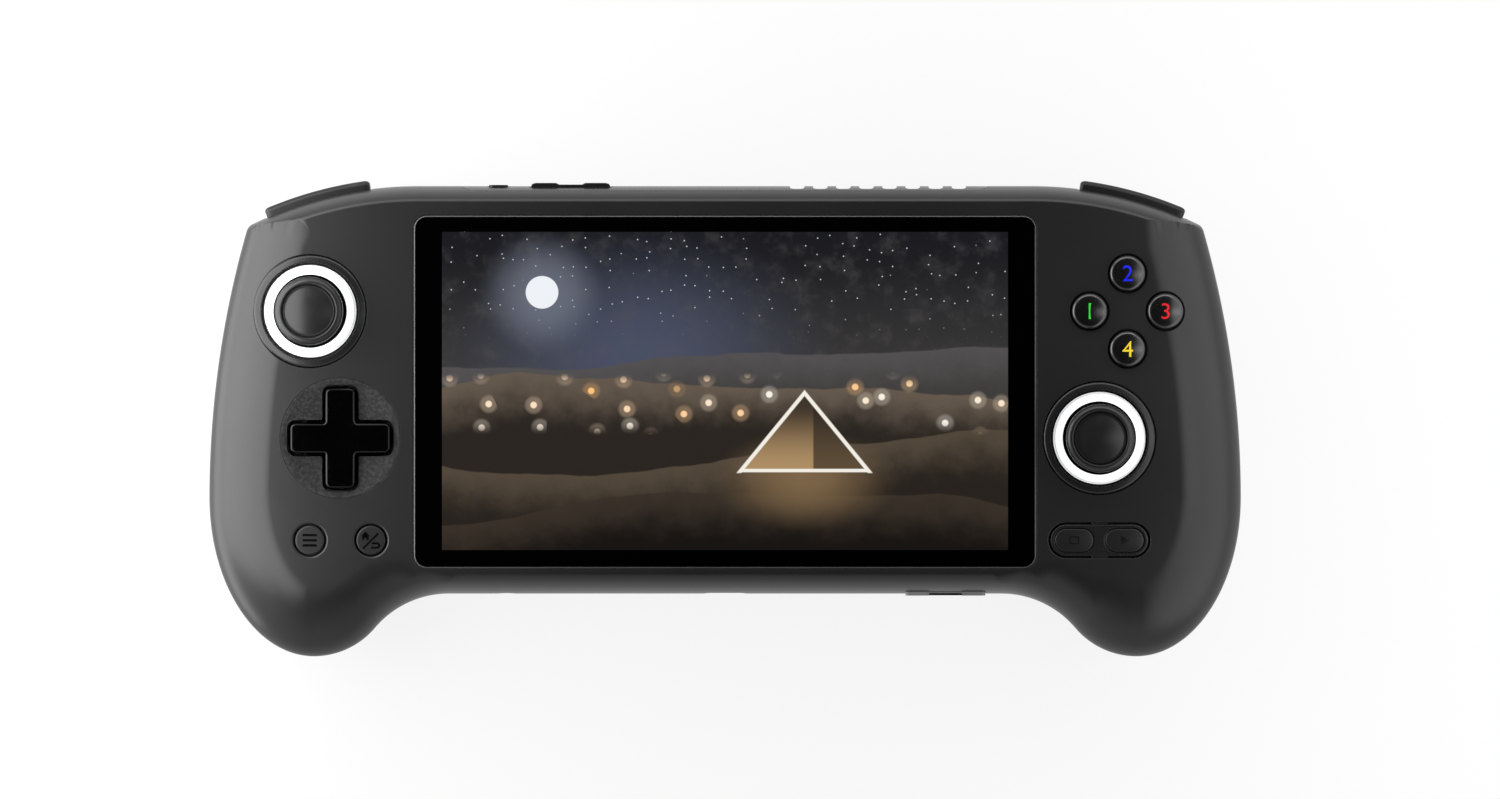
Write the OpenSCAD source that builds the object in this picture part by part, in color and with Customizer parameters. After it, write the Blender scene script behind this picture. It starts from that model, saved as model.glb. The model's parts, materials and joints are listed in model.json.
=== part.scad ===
// Handheld game console lying on its back.
// +X points to the right of the screen, +Y to its top edge, +Z out of the screen.
// The grips rest on z = 0. All sizes are in millimetres.

/* [Body] */
// Overall width of the casing
body_w = 222; // [216:1:232]
// Height of the face above the glass
top_rim = 6.35; // [6:0.05:9]
// Height of the face below the glass
bottom_rim = 5.45; // [5.2:0.05:7]
// Distance of the grip tips below the bottom edge
tip_drop = 13.5; // [11:0.1:18]
// Thickness of the casing from back to face
body_t = 15.5; // [15.5:0.25:18]
// Distance the grips stand out behind the back
grip_depth = 14; // [11:0.5:17]
// Height of the rear shell's wall from back to parting line
rear_h = 7; // [7:0.1:8]
// Wall thickness of both shells
wall = 2; // [1.6:0.1:2.1]
// Gap seen at the parting line
seam = 0.2; // [0.1:0.05:0.4]

/* [Outline] */
// Distance from the side to where the top edge starts to bend
shoulder_in = 45; // [43:0.5:49]
// Radius of the bent part of the top edge
shoulder_r = 82; // [78:1:88]
// Radius of the upper corners
corner_r = 2.5; // [2.2:0.1:4]
// Radius of the upper sides
side_r = 209; // [180:1:260]
// Depth of the widest point below the middle
widest_y = 17; // [12:0.5:22]
// Distance from the side to the grip tip
tip_in = 22.5; // [20:0.5:25]
// Radius of the palm side of the grip tip
palm_r = 17.2; // [14:0.2:20]
// Radius of the hollow between grip and bottom edge
hollow_r = 20.9; // [18:0.2:24]

/* [Rolled edges] */
// Width of the front edge roll along the top
edge_top = 3.7; // [3.2:0.1:5]
// Width of the front edge roll along the sides
edge_side = 13.4; // [10:0.2:15]
// Width of the front edge roll at the grip tips
edge_tip = 16; // [12:0.5:18]
// Width of the front edge roll along the bottom
edge_bottom = 4.7; // [3.8:0.1:5]
// Softness of the front roll where it meets the face
edge_soft = 1.7; // [1.4:0.05:2]
// Fullness of the front roll at the parting line
edge_full = 0.62; // [0.5:0.01:0.7]
// Width of the rear edge roll along the top
rear_roll_top = 6; // [5:0.5:7]
// Width of the rear edge roll along sides and grips
rear_roll_side = 18; // [14:0.5:20]
// Width of the rear edge roll on the palm side
rear_roll_palm = 12; // [9:0.5:14]
// Width of the rear edge roll along the bottom
rear_roll_bottom = 5; // [4:0.5:5.5]

/* [Grips] */
// Width of each grip from the side to the foot of its inner flank
grip_w = 49; // [45:0.5:52]
// Width of the grip's inner flank
flank_w = 22; // [16:0.5:26]
// Distance below the top edge at which the grips have faded into the back
fade_down = 10; // [8:0.5:16]
// Length over which the grips fade
fade_len = 28; // [20:1:34]

/* [Screen] */
// Width of each control panel beside the glass
panel_w = 44.1; // [43:0.1:46]
// Height of the glass
glass_h = 75.9; // [70:0.1:77]
// Height of the glass centre above the middle
glass_y = 5.7; // [5:0.1:6.2]
// Corner radius of the glass
glass_r = 3; // [1:0.1:6]
// Thickness of the glass
glass_t = 1; // [0.7:0.1:1.2]
// Gap round the glass
glass_gap = 0.2; // [0.1:0.05:0.4]
// Width of the ledge the glass lies on
ledge = 3.2; // [2:0.1:3.6]
// Thickness of the display panel
display_t = 1.9; // [1.4:0.1:2.2]
// Thickness of the mid frame's plate
frame_t = 1; // [0.8:0.1:1.4]
// Thickness of the mid frame's rim
frame_rim = 1.2; // [0.8:0.1:1.5]

/* [Control rows] */
// Height of the upper row: left stick and face buttons
row_top = 23; // [22:0.1:23.5]
// Height of the middle row: D-pad and right stick
row_mid = -4.2; // [-5:0.1:-4]
// Height of the lower row: the small buttons
row_low = -26.1; // [-27:0.1:-25.8]
// Least room from the upper row to the top edge
row_above = 27; // [26.5:0.1:30]
// Least room from the lower row to the bottom edge
row_below = 11.6; // [11.2:0.1:14]
// Distance of the D-pad column inward from the panel's middle
pad_in = 6.5; // [6:0.1:7]
// Distance of the right stick column inward from the panel's middle
stick_in = 8.7; // [8:0.1:9]
// Distance of the face buttons inward from the panel's middle
face_in = 2.7; // [2:0.1:4]

/* [Sticks] */
// Radius of the stick bezel
bezel_r = 12.1; // [11.6:0.1:12.4]
// Height of the bezel's crest above the face
bezel_up = 0.5; // [0.2:0.1:0.8]
// Outer radius of the light ring
light_r = 9.9; // [9.5:0.1:10.1]
// Inner radius of the light ring
light_in = 7.85; // [7.7:0.05:8.2]
// Radius of the stick cap
cap_r = 7.3; // [6.6:0.1:7.6]
// Height of the cap's top above the face
cap_up = 7; // [6.6:0.1:8]
// Thickness of the cap
cap_t = 3.5; // [2.6:0.1:3.6]
// Radius of the crowned middle of the cap
cap_crown_r = 5.7; // [4:0.1:6]
// Depth of the groove round the crown
cap_groove = 0.9; // [0.3:0.1:1.2]
// Radius of the dust dome round the pivot
dome_r = 9; // [8.8:0.05:9.1]
// Depth of the stick's pivot below the face
pivot_down = 7; // [7:0.05:7.4]
// Radius of the stick's stem
stem_r = 1.75; // [1.4:0.05:2]
// Width of the stick module
module_w = 15; // [14.6:0.1:15.2]
// Height of the stick module's case
module_h = 4.9; // [4:0.1:5.5]
// Radius of the yoke's trunnions
trunnion_r = 0.8; // [0.6:0.05:0.9]
// Travel of the cap when clicked
click = 0.4; // [0.2:0.05:0.5]

/* [D-pad] */
// Radius of the textured dish
dish_r = 12.85; // [12.5:0.05:13.2]
// Depth of the dish
dish_depth = 0.9; // [0.5:0.1:1]
// Length of the cross
pad_len = 21.3; // [19:0.1:21.5]
// Width of the arms
pad_arm = 6.2; // [5.5:0.1:7]
// Height of the cross above the face
pad_up = 1.6; // [1:0.1:2.4]
// Corner radius of the arms
pad_corner = 1.1; // [0.8:0.1:1.6]
// Gap round the cross
pad_gap = 0.7; // [0.6:0.05:1]
// Radius of the pivot ball
ball_r = 2.5; // [2.2:0.1:2.8]

/* [Face buttons] */
// Distance of each button from the cluster's middle
face_pitch = 8.1; // [7.6:0.1:8.6]
// Radius of a face button
face_r = 3.85; // [3.4:0.05:4.2]
// Height of the buttons above the face
face_up = 1.7; // [1.2:0.1:2.6]
// Travel of a face button
face_travel = 1; // [0.5:0.1:1]
// Gap round every button
key_gap = 0.3; // [0.2:0.05:0.4]
// Width of the flange that holds a key in the shell
key_flange = 1; // [0.7:0.05:1]
// Gap round that flange
key_seat = 0.4; // [0.3:0.05:0.6]

/* [Small buttons] */
// Distance between the two round buttons
round_pitch = 13.1; // [11:0.1:14]
// Radius of a round button
round_r = 3.15; // [2.6:0.05:3.4]
// Length of the pill bezel
pill_len = 21.3; // [20.6:0.1:22]
// Height of the pill bezel
pill_h = 7.1; // [6.8:0.1:7.6]
// Distance between the two pill buttons
pill_pitch = 10.8; // [10.6:0.1:11.4]
// Length of a pill button
key_len = 8.2; // [7:0.1:8.4]
// Height of a pill button
key_h = 4.9; // [4.2:0.1:5]
// Travel of the small buttons
small_travel = 0.6; // [0.3:0.05:0.65]

/* [Shoulders] */
// Angle along the bent top edge to the middle of the bumper
bumper_mid = 15.3; // [15:0.1:16]
// Half the angle the bumper covers
bumper_half = 8.05; // [7.6:0.05:8.2]
// Distance the bumper stands out of the top edge
bumper_up = 1.9; // [1.2:0.1:2.6]
// Depth of the bumper measured inward from its outer face
bumper_deep = 5.5; // [4.5:0.1:5.6]
// Height of the bumper
bumper_h = 5; // [4.6:0.1:5.2]
// Radius of the bumper's pivot pin
bumper_pin_r = 0.75; // [0.6:0.05:0.85]
// Half the angle the trigger covers
trigger_half = 7.5; // [7:0.05:7.6]
// Height of the trigger tip above the ground
trigger_tip = 3; // [2.6:0.1:5]
// Corner radius of the trigger's tip
trigger_corner = 4.5; // [2:0.1:6]
// Radius of the trigger's pivot pin
trigger_pin_r = 1; // [0.8:0.05:1.1]
// Radius of the trigger's barrel
barrel_r = 2.1; // [1.9:0.05:2.15]
// Thickness of the trigger spring's wire
spring_wire = 0.6; // [0.4:0.05:0.7]

/* [Top edge] */
// Distance from the bend of the top edge to the top panel's end
strip_in = 9.4; // [8:0.1:10.5]
// Rounding of the top panel's ends
strip_r = 4; // [2:0.1:4.4]
// Number of vent slots
vents = 8; // [4:1:8]
// Distance between the vent slots
vent_pitch = 4.97; // [4.6:0.01:5]
// Width of a vent slot
vent_w = 3.13; // [2:0.01:3.4]
// Distance of the vents' middle inward from the fan
vent_off = 4.6; // [3.5:0.1:6]
// Distance of the volume rocker inward from the top panel's end
rocker_in = 23.4; // [22.6:0.1:26.6]
// Length of the volume rocker
rocker_len = 17.1; // [15:0.1:18]
// Height of the rocker's ends above the top edge
rocker_up = 0.64; // [0.4:0.02:1]
// Distance of the power button inward from the top panel's end
power_in = 7.85; // [7.1:0.05:9.1]
// Length of the power button
power_len = 4.1; // [3.6:0.1:4.6]
// Height of both top keys across the edge
top_key_h = 3.2; // [2.8:0.1:3.4]
// Travel of the power button
power_travel = 0.4; // [0.2:0.05:0.5]

/* [Bottom edge] */
// Distance of the card slot inward from the glass's side
card_side = 19.5; // [17:0.1:22]
// Length of the frame round the card slot
card_len = 17.2; // [16:0.1:18]
// Height of the frame round the card slot
card_h = 4.4; // [4:0.1:4.6]
// Distance the card frame stands out of the bottom edge
card_up = 0.4; // [0:0.1:0.6]
// Width of the finger notch in the card frame
notch_w = 7.1; // [6:0.1:8]
// Distance of the headphone jack inward from the glass's side
jack_side = 19.9; // [18:0.1:23]
// Radius of the headphone jack's bore
jack_r = 1.8; // [1.6:0.05:1.9]
// Width of the USB-C port
usb_w = 8.9; // [8:0.1:9.4]
// Height of the USB-C port
usb_h = 3.2; // [2.6:0.1:3.2]
// Place of each speaker as a share of the way to the card slot
speaker_share = 0.464; // [0.42:0.002:0.5]
// Length of a speaker
speaker_len = 17; // [14:0.5:18]

/* [Inside] */
// Thickness of the boards
board_t = 1; // [0.8:0.05:1]
// Length of the mid frame's posts above the main board
post_h = 2.3; // [2:0.1:2.6]
// Distance of the battery from the middle
battery_mid = 3; // [2:0.1:5]
// Distance of the battery inward from the glass's side
battery_side = 4.9; // [4.5:0.1:9]
// Distance of the battery below the top edge
battery_top = 10; // [9:0.5:13]
// Distance of the battery above the bottom edge
battery_low = 14.7; // [14:0.1:18]
// Thickness of the battery
battery_t = 6.15; // [5:0.05:7]
// Distance of the main board inward from the glass's side
board_side = 4.9; // [4.5:0.1:8]
// Distance of the fan inward from the glass's side
fan_side = 29.4; // [27:0.1:31.5]
// Distance of the fan below the top edge
fan_down = 30; // [29:0.5:31]
// Radius of the fan housing
fan_r = 17.5; // [16.5:0.1:18]
// Thickness of the fan housing
fan_t = 6; // [5.5:0.05:6.1]
// Number of fan blades
blades = 15; // [9:1:21]
// Number of fins on the heat sink
fins = 13; // [8:1:18]
// Radius of the fan's shaft
fan_pin_r = 0.75; // [0.6:0.05:1]

/* [Fasteners] */
// Distance of the four inner case screws outward from the glass's side
screw_out = 2.7; // [2.6:0.05:3]
// Distance of the upper case screws below the top edge
screw_down = 10; // [9.5:0.1:10.5]
// Distance of the lower case screws above the bottom edge
screw_rise = 4.7; // [4.4:0.1:5]
// Distance of the grip screws inward from the side
grip_screw_in = 19; // [18:0.5:21]
// Distance of the grip screws above the grip tips
grip_screw_rise = 13.2; // [12.4:0.2:14.2]
// Radius of the screw shanks
screw_r = 1; // [0.8:0.05:1.1]
// Radius of the screw heads
head_r = 1.9; // [1.6:0.05:2]
// Thickness of the screw heads
head_t = 1.3; // [1:0.1:1.5]

/* [Fits] */
// Gap between parts that are fixed together
fit = 0.1; // [0.05:0.01:0.2]
// Radial gap of a turning fit
run = 0.05; // [0.02:0.01:0.08]

/* [Hidden] */
$fn = 64;
half_w = body_w / 2;
key_lip = key_flange + key_seat;
glass_w = body_w - 2 * panel_w;
glass_side = glass_w / 2;
top_y = max(glass_y + glass_h / 2 + top_rim, row_top + row_above);
bottom_y = max(glass_h / 2 - glass_y + bottom_rim, row_below - row_low);
tip_y = bottom_y + tip_drop;
shoulder_x = half_w - shoulder_in;
fade_y = top_y - fade_down;
strip_len = 2 * (shoulder_x - strip_in);
rocker_x = strip_len / 2 - rocker_in;
power_x = strip_len / 2 - power_in;
fan_x = glass_side - fan_side;
fan_y = top_y - fan_down;
vent_x = fan_x - vent_off;
card_x = glass_side - card_side;
jack_x = glass_side - jack_side;
speaker_x = speaker_share * card_x;
board_out = glass_side - board_side;
arm_out = board_out - 2;
battery_w = glass_side - battery_side - battery_mid;
battery_h = top_y - battery_top + bottom_y - battery_low;
screw_x = glass_side + screw_out;
screw_top = top_y - screw_down;
screw_low = bottom_y - screw_rise;
screw_grip = tip_y - grip_screw_rise;
z_back = grip_depth;
z_face = z_back + body_t;
z_part = z_back + rear_h;
z_in = z_face - wall;
z_floor = z_back + wall;
z_rim_f = z_part + seam / 2;
z_rim_r = z_part - seam / 2;

panel_c = half_w - panel_w / 2;
pad_c = [-(panel_c - pad_in), row_mid];
stick_l = [-panel_c, row_top];
stick_r = [panel_c - stick_in, row_mid];
face_c = [panel_c - face_in, row_top];
menu_c = [pad_c.x - round_pitch / 2, row_low];
home_c = [pad_c.x + round_pitch / 2, row_low];
pill_c = [stick_r.x, row_low];

z_pivot = z_face - pivot_down;
z_cap = z_face + cap_up;
z_ball = z_part + 3.2;
z_board = z_part - board_t;
z_frame = z_face - glass_t - display_t - frame_t;
z_main = z_frame - post_h - board_t;
z_key = z_part + 0.8;

shoulder_c = [shoulder_x, top_y - shoulder_r];
side_c = [half_w - side_r, -widest_y];
tip_c = [half_w - tip_in, -widest_y];
palm_c = [half_w - tip_in, palm_r - tip_y];
hollow_dy = palm_r - tip_y + bottom_y + hollow_r;
hollow_c = [palm_c.x - sqrt(pow(palm_r + hollow_r, 2) - pow(hollow_dy, 2)), -bottom_y - hollow_r];
corner_c = circles_meet(shoulder_c, shoulder_r - corner_r, side_c, side_r - corner_r);
corner_a = heading(corner_c - shoulder_c);
corner_b = heading(corner_c - side_c);
hollow_a = heading(palm_c - hollow_c);

bumper_r = shoulder_r + bumper_up;
bumper_in = bumper_r - bumper_deep;
z_bumper = z_part + 1.2 - bumper_h;
barrel_y = shoulder_r - 8.4;
z_barrel = z_back + 3.4;
tab_r = shoulder_r - 4.1;
tab_a = bumper_half + 2.65;

z_usb = z_main - fit / 2 - usb_h / 2;
z_jack = z_main - 2.5;
z_card = z_main - 0.9;
screw_seat = z_back + 3;
screw_tip = z_in - 2.5;

// Small helpers
function lerp(a, b, t) = a + (b - a) * t;
function ease(t) = let (c = min(max(t, 0), 1)) c * c * (3 - 2 * c);
function heading(v) = atan2(v.y, v.x);
function circles_meet(c1, r1, c2, r2) =
  let (
    v = c2 - c1,
    d = norm(v),
    a = (r1 * r1 - r2 * r2 + d * d) / (2 * d),
    h = sqrt(r1 * r1 - a * a)
  )
  c1 + v * a / d + [v.y, -v.x] * h / d;
function arc(c, r, a0, a1, n, last = 1) =
  [for (i = [0 : n - 1 + last]) c + r * [cos(lerp(a0, a1, i / n)), sin(lerp(a0, a1, i / n))]];
function rrect(w, h, r, n = 8) = concat(
  arc([w / 2 - r, h / 2 - r], r, 0, 90, n),
  arc([r - w / 2, h / 2 - r], r, 90, 180, n),
  arc([r - w / 2, r - h / 2], r, 180, 270, n),
  arc([w / 2 - r, r - h / 2], r, 270, 360, n)
);
function turned(p, a) = [p.x * cos(a) - p.y * sin(a), p.x * sin(a) + p.y * cos(a)];
function cross_line(len, arm, ro, ri, n = 4) = [
  for (q = [0 : 3])
    for (p = concat(
      arc([len / 2 - ro, ro - arm / 2], ro, -90, 0, n),
      arc([len / 2 - ro, arm / 2 - ro], ro, 0, 90, n),
      arc([arm / 2 + ri, arm / 2 + ri], ri, 270, 180, n)
    ))
      turned(p, 90 * q)
];
function cut_corners(p) = [
  for (i = [0 : len(p) - 1])
    each [lerp(p[i], p[(i + 1) % len(p)], 0.25), lerp(p[i], p[(i + 1) % len(p)], 0.75)]
];
function total(p, i = 0) = i == len(p) - 1 ? p[i] : p[i] + total(p, i + 1);
function middle(p) = total(p) / len(p);
function at_z(line, z) = [for (p = line) [p.x, p.y, z]];

// Solid through a stack of outlines with equal point counts
module stack(rings) {
  n = len(rings[0]);
  m = len(rings);
  polyhedron(
    points = concat([for (r = rings) each r], [middle(rings[0]), middle(rings[m - 1])]),
    faces = concat(
      [for (i = [0 : n - 1]) [i, (i + 1) % n, m * n]],
      [for (i = [0 : n - 1]) [(m - 1) * n + (i + 1) % n, (m - 1) * n + i, m * n + 1]],
      [
        for (k = [0 : m - 2])
          for (i = [0 : n - 1])
            let (j = (i + 1) % n)
            each [[k * n + i, (k + 1) * n + i, (k + 1) * n + j], [k * n + i, (k + 1) * n + j, k * n + j]]
      ]
    )
  );
}

module slab(line, z0, z1) {
  translate([0, 0, z0])
    linear_extrude(z1 - z0)
      polygon(line);
}

module rod(r, z0, z1) {
  translate([0, 0, z0])
    cylinder(r = r, h = z1 - z0);
}

module block(x0, x1, y0, y1, z0, z1) {
  translate([x0, y0, z0])
    cube([x1 - x0, y1 - y0, z1 - z0]);
}

module at(c) {
  translate([c.x, c.y, 0])
    children();
}

module both() {
  children();
  mirror([1, 0, 0])
    children();
}

// Right-hand shoulder frame: +Y runs outward through the bumper's middle, the origin is the arc's centre
module shoulder() {
  translate([shoulder_c.x, shoulder_c.y, 0])
    rotate([0, 0, -bumper_mid])
      children();
}

// Arc-shaped bar about the shoulder's centre, made from a section of radius and height
module sweep(line, a0, a1) {
  rotate([0, 0, 90 - a1])
    rotate_extrude(angle = a1 - a0)
      polygon(line);
}

module sweep_box(r0, r1, z0, z1, a0, a1) {
  sweep([[r0, z0], [r1, z0], [r1, z1], [r0, z1]], a0, a1);
}

// Outline of the right half, from the middle to the grip tip, along the top and along the bottom
function upper_line() = concat(
  [for (i = [0 : 4]) [shoulder_x * i / 5, top_y]],
  arc(shoulder_c, shoulder_r, 90, corner_a, 6, 0),
  arc(corner_c, corner_r, corner_a, corner_b, 3, 0),
  arc(side_c, side_r, corner_b, 0, 8, 0),
  [for (i = [0 : 10]) tip_c + [tip_in * cos(8.6 * i), (widest_y - tip_y) * sin(8.6 * i)]]
);
function lower_line() = concat(
  [for (i = [0 : 4]) [hollow_c.x * i / 5, -bottom_y]],
  arc(hollow_c, hollow_r, 90, hollow_a, 14, 0),
  arc(palm_c, palm_r, hollow_a + 180, 265, 13)
);
function slope_at(p, i) = let (v = p[min(i + 1, len(p) - 1)] - p[max(i - 1, 0)]) v / norm(v);
function moved_in(p, d, s) = [
  for (i = [0 : len(p) - 1])
    let (t = slope_at(p, i)) p[i] + s * d * [t.y, -t.x]
];
// Width of an edge roll at each point of the two lines
function upper_roll(a, b, c) = concat(
  [for (i = [1 : 11]) a],
  [for (i = [0 : 2]) lerp(a, b, i / 3)],
  [for (i = [1 : 8]) b],
  [for (i = [0 : 10]) lerp(b, c, i / 10)]
);
function lower_roll(a, b, c) = concat(
  [for (i = [1 : 5]) a],
  [for (i = [0 : 13]) lerp(a, b, i / 13)],
  [for (i = [0 : 13]) lerp(b, c, i / 13)]
);
function gap_to(p, a, b) =
  let (v = b - a, t = min(max((p - a) * v / (v * v), 0), 1))
  norm(p - a - v * t);
// Distance to the edge as a share of the local roll width
function share(p, edge, roll) =
  let (
    q = [abs(p.x), p.y],
    s = min([for (i = [0 : len(edge) - 2]) gap_to(q, edge[i], edge[i + 1]) * 2 / (roll[i] + roll[i + 1])])
  )
  s < 0.00001 ? 0 : min(s, 1);
function backward(p) = [for (i = [len(p) - 1 : -1 : 0]) p[i]];
// Points across the body from the top line to the bottom line
function spread(steps, d) =
  let (n = len(steps) - 1, k = min(1, 0.45 * d / steps[n]))
  [for (i = [0 : n]) lerp(0.45 * d * i / n, steps[i] * k, k)];
function across(u, l, du, mid, dl) =
  let (
    v = l - u,
    d = norm(v),
    a = spread(du, d),
    b = spread(dl, d),
    a1 = a[len(a) - 1],
    b1 = d - b[len(b) - 1]
  )
  concat(
    [for (x = a) u + v * x / d],
    [for (i = [1 : 1 : mid]) u + v * lerp(a1, b1, i / (mid + 1)) / d],
    [for (i = [len(b) - 1 : -1 : 0]) l - v * b[i] / d]
  );
// Columns across the body, all but the grip tips
function flat_grid(up, low, du, mid, dl) =
  let (m = len(up) - 2)
  [
    for (j = [-m : m])
      let (s = j < 0 ? -1 : 1, u = up[abs(j)], l = low[abs(j)])
      across([s * u.x, u.y], [s * l.x, l.y], du, mid, dl)
  ];
// The four corner points that close the two grip tips
function tips(up, low, z) =
  let (u = up[len(up) - 1], l = low[len(low) - 1])
  [[-u.x, u.y, z], [-l.x, l.y, z], [u.x, u.y, z], [l.x, l.y, z]];
function grip(p) =
  grip_depth * ease((abs(p.x) - half_w + grip_w) / flank_w) * ease((fade_y - p.y) / fade_len);
function front_rise(s) = pow(1 - pow(1 - s, edge_soft), edge_full);
function rear_rise(s) = sqrt(1 - pow(1 - s, 2));

// Faces of one grid of n columns and k rows whose points start at s and whose tips start at t
function grid_faces(n, k, s, t) =
  let (h = floor(k / 2), e = s + (n - 1) * k)
  concat(
    [for (j = [0 : n - 2]) for (i = [0 : k - 2]) let (a = s + j * k + i, b = a + k)
      each [[a, b, b + 1], [a, b + 1, a + 1]]],
    [for (i = [0 : k - 2]) [i < h ? t : t + 1, s + i, s + i + 1]],
    [[t, s + h, t + 1]],
    [for (i = [0 : k - 2]) [e + i, i < h ? t + 2 : t + 3, e + i + 1]],
    [[e + h, t + 2, t + 3]]
  );
function rim_faces(o, i) =
  [for (j = [0 : len(o) - 2]) each [[o[j], i[j], i[j + 1]], [o[j], i[j + 1], o[j + 1]]]];

// Closed shell between an outer and an inner grid that end on the parting line
module shell_skin(outer, inner, tips_out, tips_in, turn) {
  n = len(outer);
  ko = len(outer[0]);
  ki = len(inner[0]);
  s = n * ko;
  to = s + n * ki;
  ti = to + 4;
  top_o = concat([to], [for (j = [0 : n - 1]) j * ko], [to + 2]);
  top_i = concat([ti], [for (j = [0 : n - 1]) s + j * ki], [ti + 2]);
  low_o = concat([to + 1], [for (j = [0 : n - 1]) j * ko + ko - 1], [to + 3]);
  low_i = concat([ti + 1], [for (j = [0 : n - 1]) s + j * ki + ki - 1], [ti + 3]);
  faces = concat(
    grid_faces(n, ko, 0, to),
    [for (f = grid_faces(n, ki, s, ti)) backward(f)],
    rim_faces(top_o, top_i),
    rim_faces(low_i, low_o),
    [[to, to + 1, ti + 1], [to, ti + 1, ti], [ti + 2, ti + 3, to + 3], [ti + 2, to + 3, to + 2]]
  );
  polyhedron(
    points = concat([for (c = outer) each c], [for (c = inner) each c], tips_out, tips_in),
    faces = turn ? [for (f = faces) backward(f)] : faces
  );
}

module front_skin() {
  up = upper_line();
  low = lower_line();
  edge = concat(up, backward(low));
  roll = concat(
    upper_roll(edge_top, edge_side, edge_tip),
    backward(lower_roll(edge_bottom, (edge_bottom + edge_tip) / 2, edge_tip))
  );
  up_in = moved_in(up, wall, 1);
  low_in = moved_in(low, wall, -1);
  edge_in = concat(up_in, backward(low_in));
  roll_in = [for (r = roll) r - 0.85 * wall];
  outer = flat_grid(up, low, [0, 0.12, 0.4, 0.9, 1.6, 2.5, 3.4, 4, 6.5, 9.5, 13.5, 17], 0,
    [0, 0.15, 0.6, 1.4, 2.6, 4, 5, 8, 12, 16.5]);
  inner = flat_grid(up_in, low_in, [0, 0.5, 1.3, 2.2, 5, 9, 13], 0, [0, 0.6, 1.6, 3, 6, 11]);
  shell_skin(
    [for (c = outer) [for (p = c)
      [p.x, p.y, z_rim_f + (z_face - z_rim_f) * front_rise(share(p, edge, roll))]]],
    [for (c = inner) [for (p = c)
      [p.x, p.y, z_rim_f + (z_in - z_rim_f) * front_rise(share(p, edge_in, roll_in))]]],
    tips(up, low, z_rim_f),
    tips(up_in, low_in, z_rim_f),
    false
  );
}

function rear_roll() = concat(
  upper_roll(rear_roll_top, rear_roll_side, rear_roll_side),
  backward(lower_roll(rear_roll_bottom, rear_roll_palm, rear_roll_side))
);
function rear_z(p) =
  z_rim_r - (z_rim_r - z_back + grip(p))
    * rear_rise(share(p, concat(upper_line(), backward(lower_line())), rear_roll()));

// Screw post whose foot follows the slope of the back
module rear_boss(c) {
  sx = rear_z(c + [0.5, 0]) - rear_z(c - [0.5, 0]);
  sy = rear_z(c + [0, 0.5]) - rear_z(c - [0, 0.5]);
  difference() {
    rod(head_r + 1.1, -2, screw_seat + 2.6);
    translate([0, 0, rear_z(c) + wall * 0.7])
      rotate([atan(sy), -atan(sx), 0])
        block(-30, 30, -30, 30, -60, 0);
  }
}

module rear_skin() {
  up = upper_line();
  low = lower_line();
  edge = concat(up, backward(low));
  roll = rear_roll();
  up_in = moved_in(up, wall, 1);
  low_in = moved_in(low, wall, -1);
  edge_in = concat(up_in, backward(low_in));
  roll_in = [for (r = roll) r - wall];
  steps = [0, 0.2, 0.8, 2, 3.8, 6, 9, 13, 18, 24];
  steps_in = [0, 0.7, 2.2, 4.5, 9, 16];
  outer = flat_grid(up, low, steps, 4, steps);
  inner = flat_grid(up_in, low_in, steps_in, 3, steps_in);
  shell_skin(
    [for (c = outer) [for (p = c)
      [p.x, p.y, z_rim_r - (z_rim_r - z_back + grip(p)) * rear_rise(share(p, edge, roll))]]],
    [for (c = inner) [for (p = c)
      [p.x, p.y, z_rim_r - (z_rim_r - z_floor + grip(p)) * rear_rise(share(p, edge_in, roll_in))]]],
    tips(up, low, z_rim_r),
    tips(up_in, low_in, z_rim_r),
    true
  );
}

screw_spots = [
  [screw_x, screw_top], [-screw_x, screw_top], [screw_x, -screw_low], [-screw_x, -screw_low],
  [half_w - grip_screw_in, -screw_grip], [grip_screw_in - half_w, -screw_grip]
];
stand_spots = [
  [half_w - 12, row_mid - 9.8], [half_w - 38.5, row_mid + 16.2],
  [12 - half_w, row_mid - 9.8], [38.5 - half_w, row_mid + 16.2]
];

// Openings that pass through both shells
module edge_cuts() {
  shoulder()
    sweep_box(bumper_in - 2.4, bumper_r + 2, z_bumper - 0.3, z_bumper + bumper_h + 0.3,
      -bumper_half - 0.35, bumper_half + 0.35);
  mirror([1, 0, 0])
    shoulder()
      sweep_box(bumper_in - 2.4, bumper_r + 2, z_bumper - 0.3, z_bumper + bumper_h + 0.3,
        -bumper_half - 0.35, bumper_half + 0.35);
  strip_block(fit, top_y - wall - 0.5, top_y + 2);
  translate([0, -bottom_y, z_usb])
    rotate([90, 0, 0])
      slab(rrect(usb_w + 0.6, usb_h + 0.6, 1.8), -wall - 1, 2);
  translate([-jack_x, -bottom_y, z_jack])
    rotate([90, 0, 0])
      rod(jack_r + 0.6 + fit, -wall - 1, 2);
  translate([card_x, -bottom_y, z_card])
    rotate([90, 0, 0])
      slab(rrect(card_len + 2 * fit, card_h + 2 * fit, 1), -wall - 1.2, 2);
}

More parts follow.
